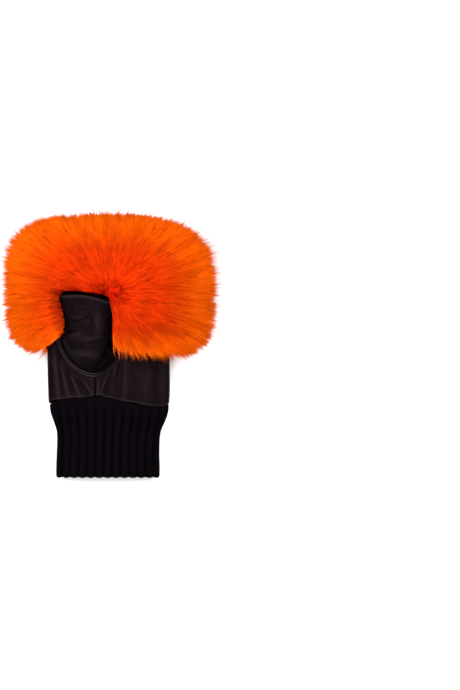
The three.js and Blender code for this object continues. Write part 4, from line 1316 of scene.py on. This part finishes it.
    def bake_corners(self, rings):
        """Places of a hair's corners in its own cell of the bake map: its three sides, above its root."""
        places = [(0.05, 0.02), (0.5, 0.08), (0.95, 0.02)]
        cell = self.CELL
        levels = np.linspace(*cell["levels"], rings + 1)
        sides = [[cell[end] + cell["pitch"] * side for end in ("left", "right")] for side in range(3)]
        for low, high in zip(levels[:-2] + cell["gap"], levels[1:-1] - cell["gap"]):
            for left, right in sides:
                places += [(left, low), (right, low), (right, high), (left, low), (right, high), (left, high)]
        low, high = levels[-2] + cell["gap"], levels[-1]
        for left, right in sides:
            places += [(left, low), (right, low), ((left + right) / 2, high)]
        return np.array(places)

    def piece(self, name, kind, points, tones, shares):
        """Joins one part of the hairs into one mesh."""
        count, corners = points.shape[:2]
        rings = corners // 3
        faces = (self.faces(rings)[None] + np.arange(count)[:, None, None] * corners).reshape(-1)
        mesh = bpy.data.meshes.new(name)
        mesh.vertices.add(count * corners)
        mesh.vertices.foreach_set("co", (points * MM).astype(np.float32).ravel())
        mesh.loops.add(len(faces))
        mesh.loops.foreach_set("vertex_index", faces.astype(np.int32))
        mesh.polygons.add(len(faces) // 3)
        mesh.polygons.foreach_set("loop_start", np.arange(0, len(faces), 3, dtype=np.int32))
        mesh.update(calc_edges=True)
        steps = np.repeat(kind["steps"], [3] * rings + [1])
        colour = np.ones((count, corners, 4), np.float32)
        colour[..., 0] = smoothstep(0.0, 1.0, steps)
        colour[..., 1] = np.repeat(tones, [3] * rings + [1], axis=1)
        colour[..., 2] = smoothstep(*self.RIM_TONE, shares)[:, None]
        pile = mesh.color_attributes.new("pile", "FLOAT_COLOR", "POINT")
        pile.data.foreach_set("color", colour.ravel())
        cells = math.ceil(math.sqrt(count))
        cell = np.stack([np.arange(count) % cells, np.arange(count) // cells], axis=1)
        uv = (cell[:, None] + self.bake_corners(rings)[None]) / cells
        mesh.uv_layers.new(name="OFBake").data.foreach_set("uv", uv.astype(np.float32).ravel())
        mesh.validate()
        finish_piece(name, mesh, material_named("Faux fur hair", hair_material))


class GLOVE_OT_stage(bpy.types.Operator):
    """Lays the pale floor and sets the studio light and the camera over the glove."""

    bl_idname = "glove.stage"
    bl_label = "Stage"

    def light(self, context, name, place, power):
        """Hangs a round lamp that faces the glove."""
        data = bpy.data.lights.new(name, "AREA")
        data.shape = "DISK"
        data.size = LIGHT_SIZE
        data.energy = power
        lamp = bpy.data.objects.new(name, data)
        lamp.location = place
        lamp.rotation_euler = (Vector(LIGHT_AIM) - Vector(place)).to_track_quat("-Z", "Y").to_euler()
        context.scene.collection.objects.link(lamp)

    def execute(self, context):
        scene = context.scene
        bm = bmesh.new()
        bmesh.ops.create_grid(bm, x_segments=2, y_segments=2, size=FLOOR_SIZE)
        mesh = bpy.data.meshes.new("floor")
        bm.to_mesh(mesh)
        bm.free()
        material, shader, _, feed = node_tree("Pale floor")
        feed(shader, {
            "Base Color": (*scene.glove_finish.floor, 1),
            "Roughness": FLOOR_ROUGHNESS,
            "Specular IOR Level": 0.0,
        })
        mesh.materials.append(material)
        floor = bpy.data.objects.new("floor", mesh)
        scene.collection.objects.link(floor)

        world = bpy.data.worlds.new("Studio")
        world.use_nodes = True
        background = world.node_tree.nodes["Background"].inputs
        background["Color"].default_value = (1, 1, 1, 1)
        background["Strength"].default_value = WORLD_STRENGTH
        scene.world = world
        for light in LIGHTS:
            self.light(context, **light)

        data = bpy.data.cameras.new("camera")
        data.lens = CAMERA["lens"]
        data.sensor_width = CAMERA["sensor"]
        data.clip_end = CAMERA["far"]
        camera = bpy.data.objects.new("camera", data)
        camera.location = CAMERA["place"]
        scene.collection.objects.link(camera)
        scene.camera = camera
        scene.view_settings.view_transform = "Standard"
        return {"FINISHED"}


class GLOVE_PT_panel(bpy.types.Panel):
    """Lists the glove's pieces in the 3D view's sidebar."""

    bl_idname = "GLOVE_PT_panel"
    bl_label = "Fingerless Glove"
    bl_space_type = "VIEW_3D"
    bl_region_type = "UI"
    bl_category = "Glove"

    def draw(self, context):
        for settings in (context.scene.glove_finish, context.scene.glove_sizes, context.scene.glove_pile):
            box = self.layout.box()
            for key in settings.__annotations__:
                box.prop(settings, key)
        for operator in OPERATORS:
            self.layout.operator(operator.bl_idname)


SETTINGS = {"glove_finish": GloveFinish, "glove_sizes": GloveSizes, "glove_pile": GlovePile}
OPERATORS = (
    GLOVE_OT_knit_cuff,
    GLOVE_OT_leather_hand,
    GLOVE_OT_thumb,
    GLOVE_OT_undercoat,
    GLOVE_OT_pile,
    GLOVE_OT_stage,
)


def register():
    for name, settings in SETTINGS.items():
        bpy.utils.register_class(settings)
        setattr(bpy.types.Scene, name, bpy.props.PointerProperty(type=settings))
    for item in (*OPERATORS, GLOVE_PT_panel):
        bpy.utils.register_class(item)


def unregister():
    for item in reversed((*OPERATORS, GLOVE_PT_panel)):
        bpy.utils.unregister_class(item)
    for name, settings in SETTINGS.items():
        delattr(bpy.types.Scene, name)
        bpy.utils.unregister_class(settings)


def main():
    register()
    bpy.ops.glove.knit_cuff()
    bpy.ops.glove.leather_hand()
    bpy.ops.glove.thumb()
    bpy.ops.glove.undercoat()
    bpy.ops.glove.pile()
    bpy.ops.glove.stage()


if __name__ == "__main__":
    main()
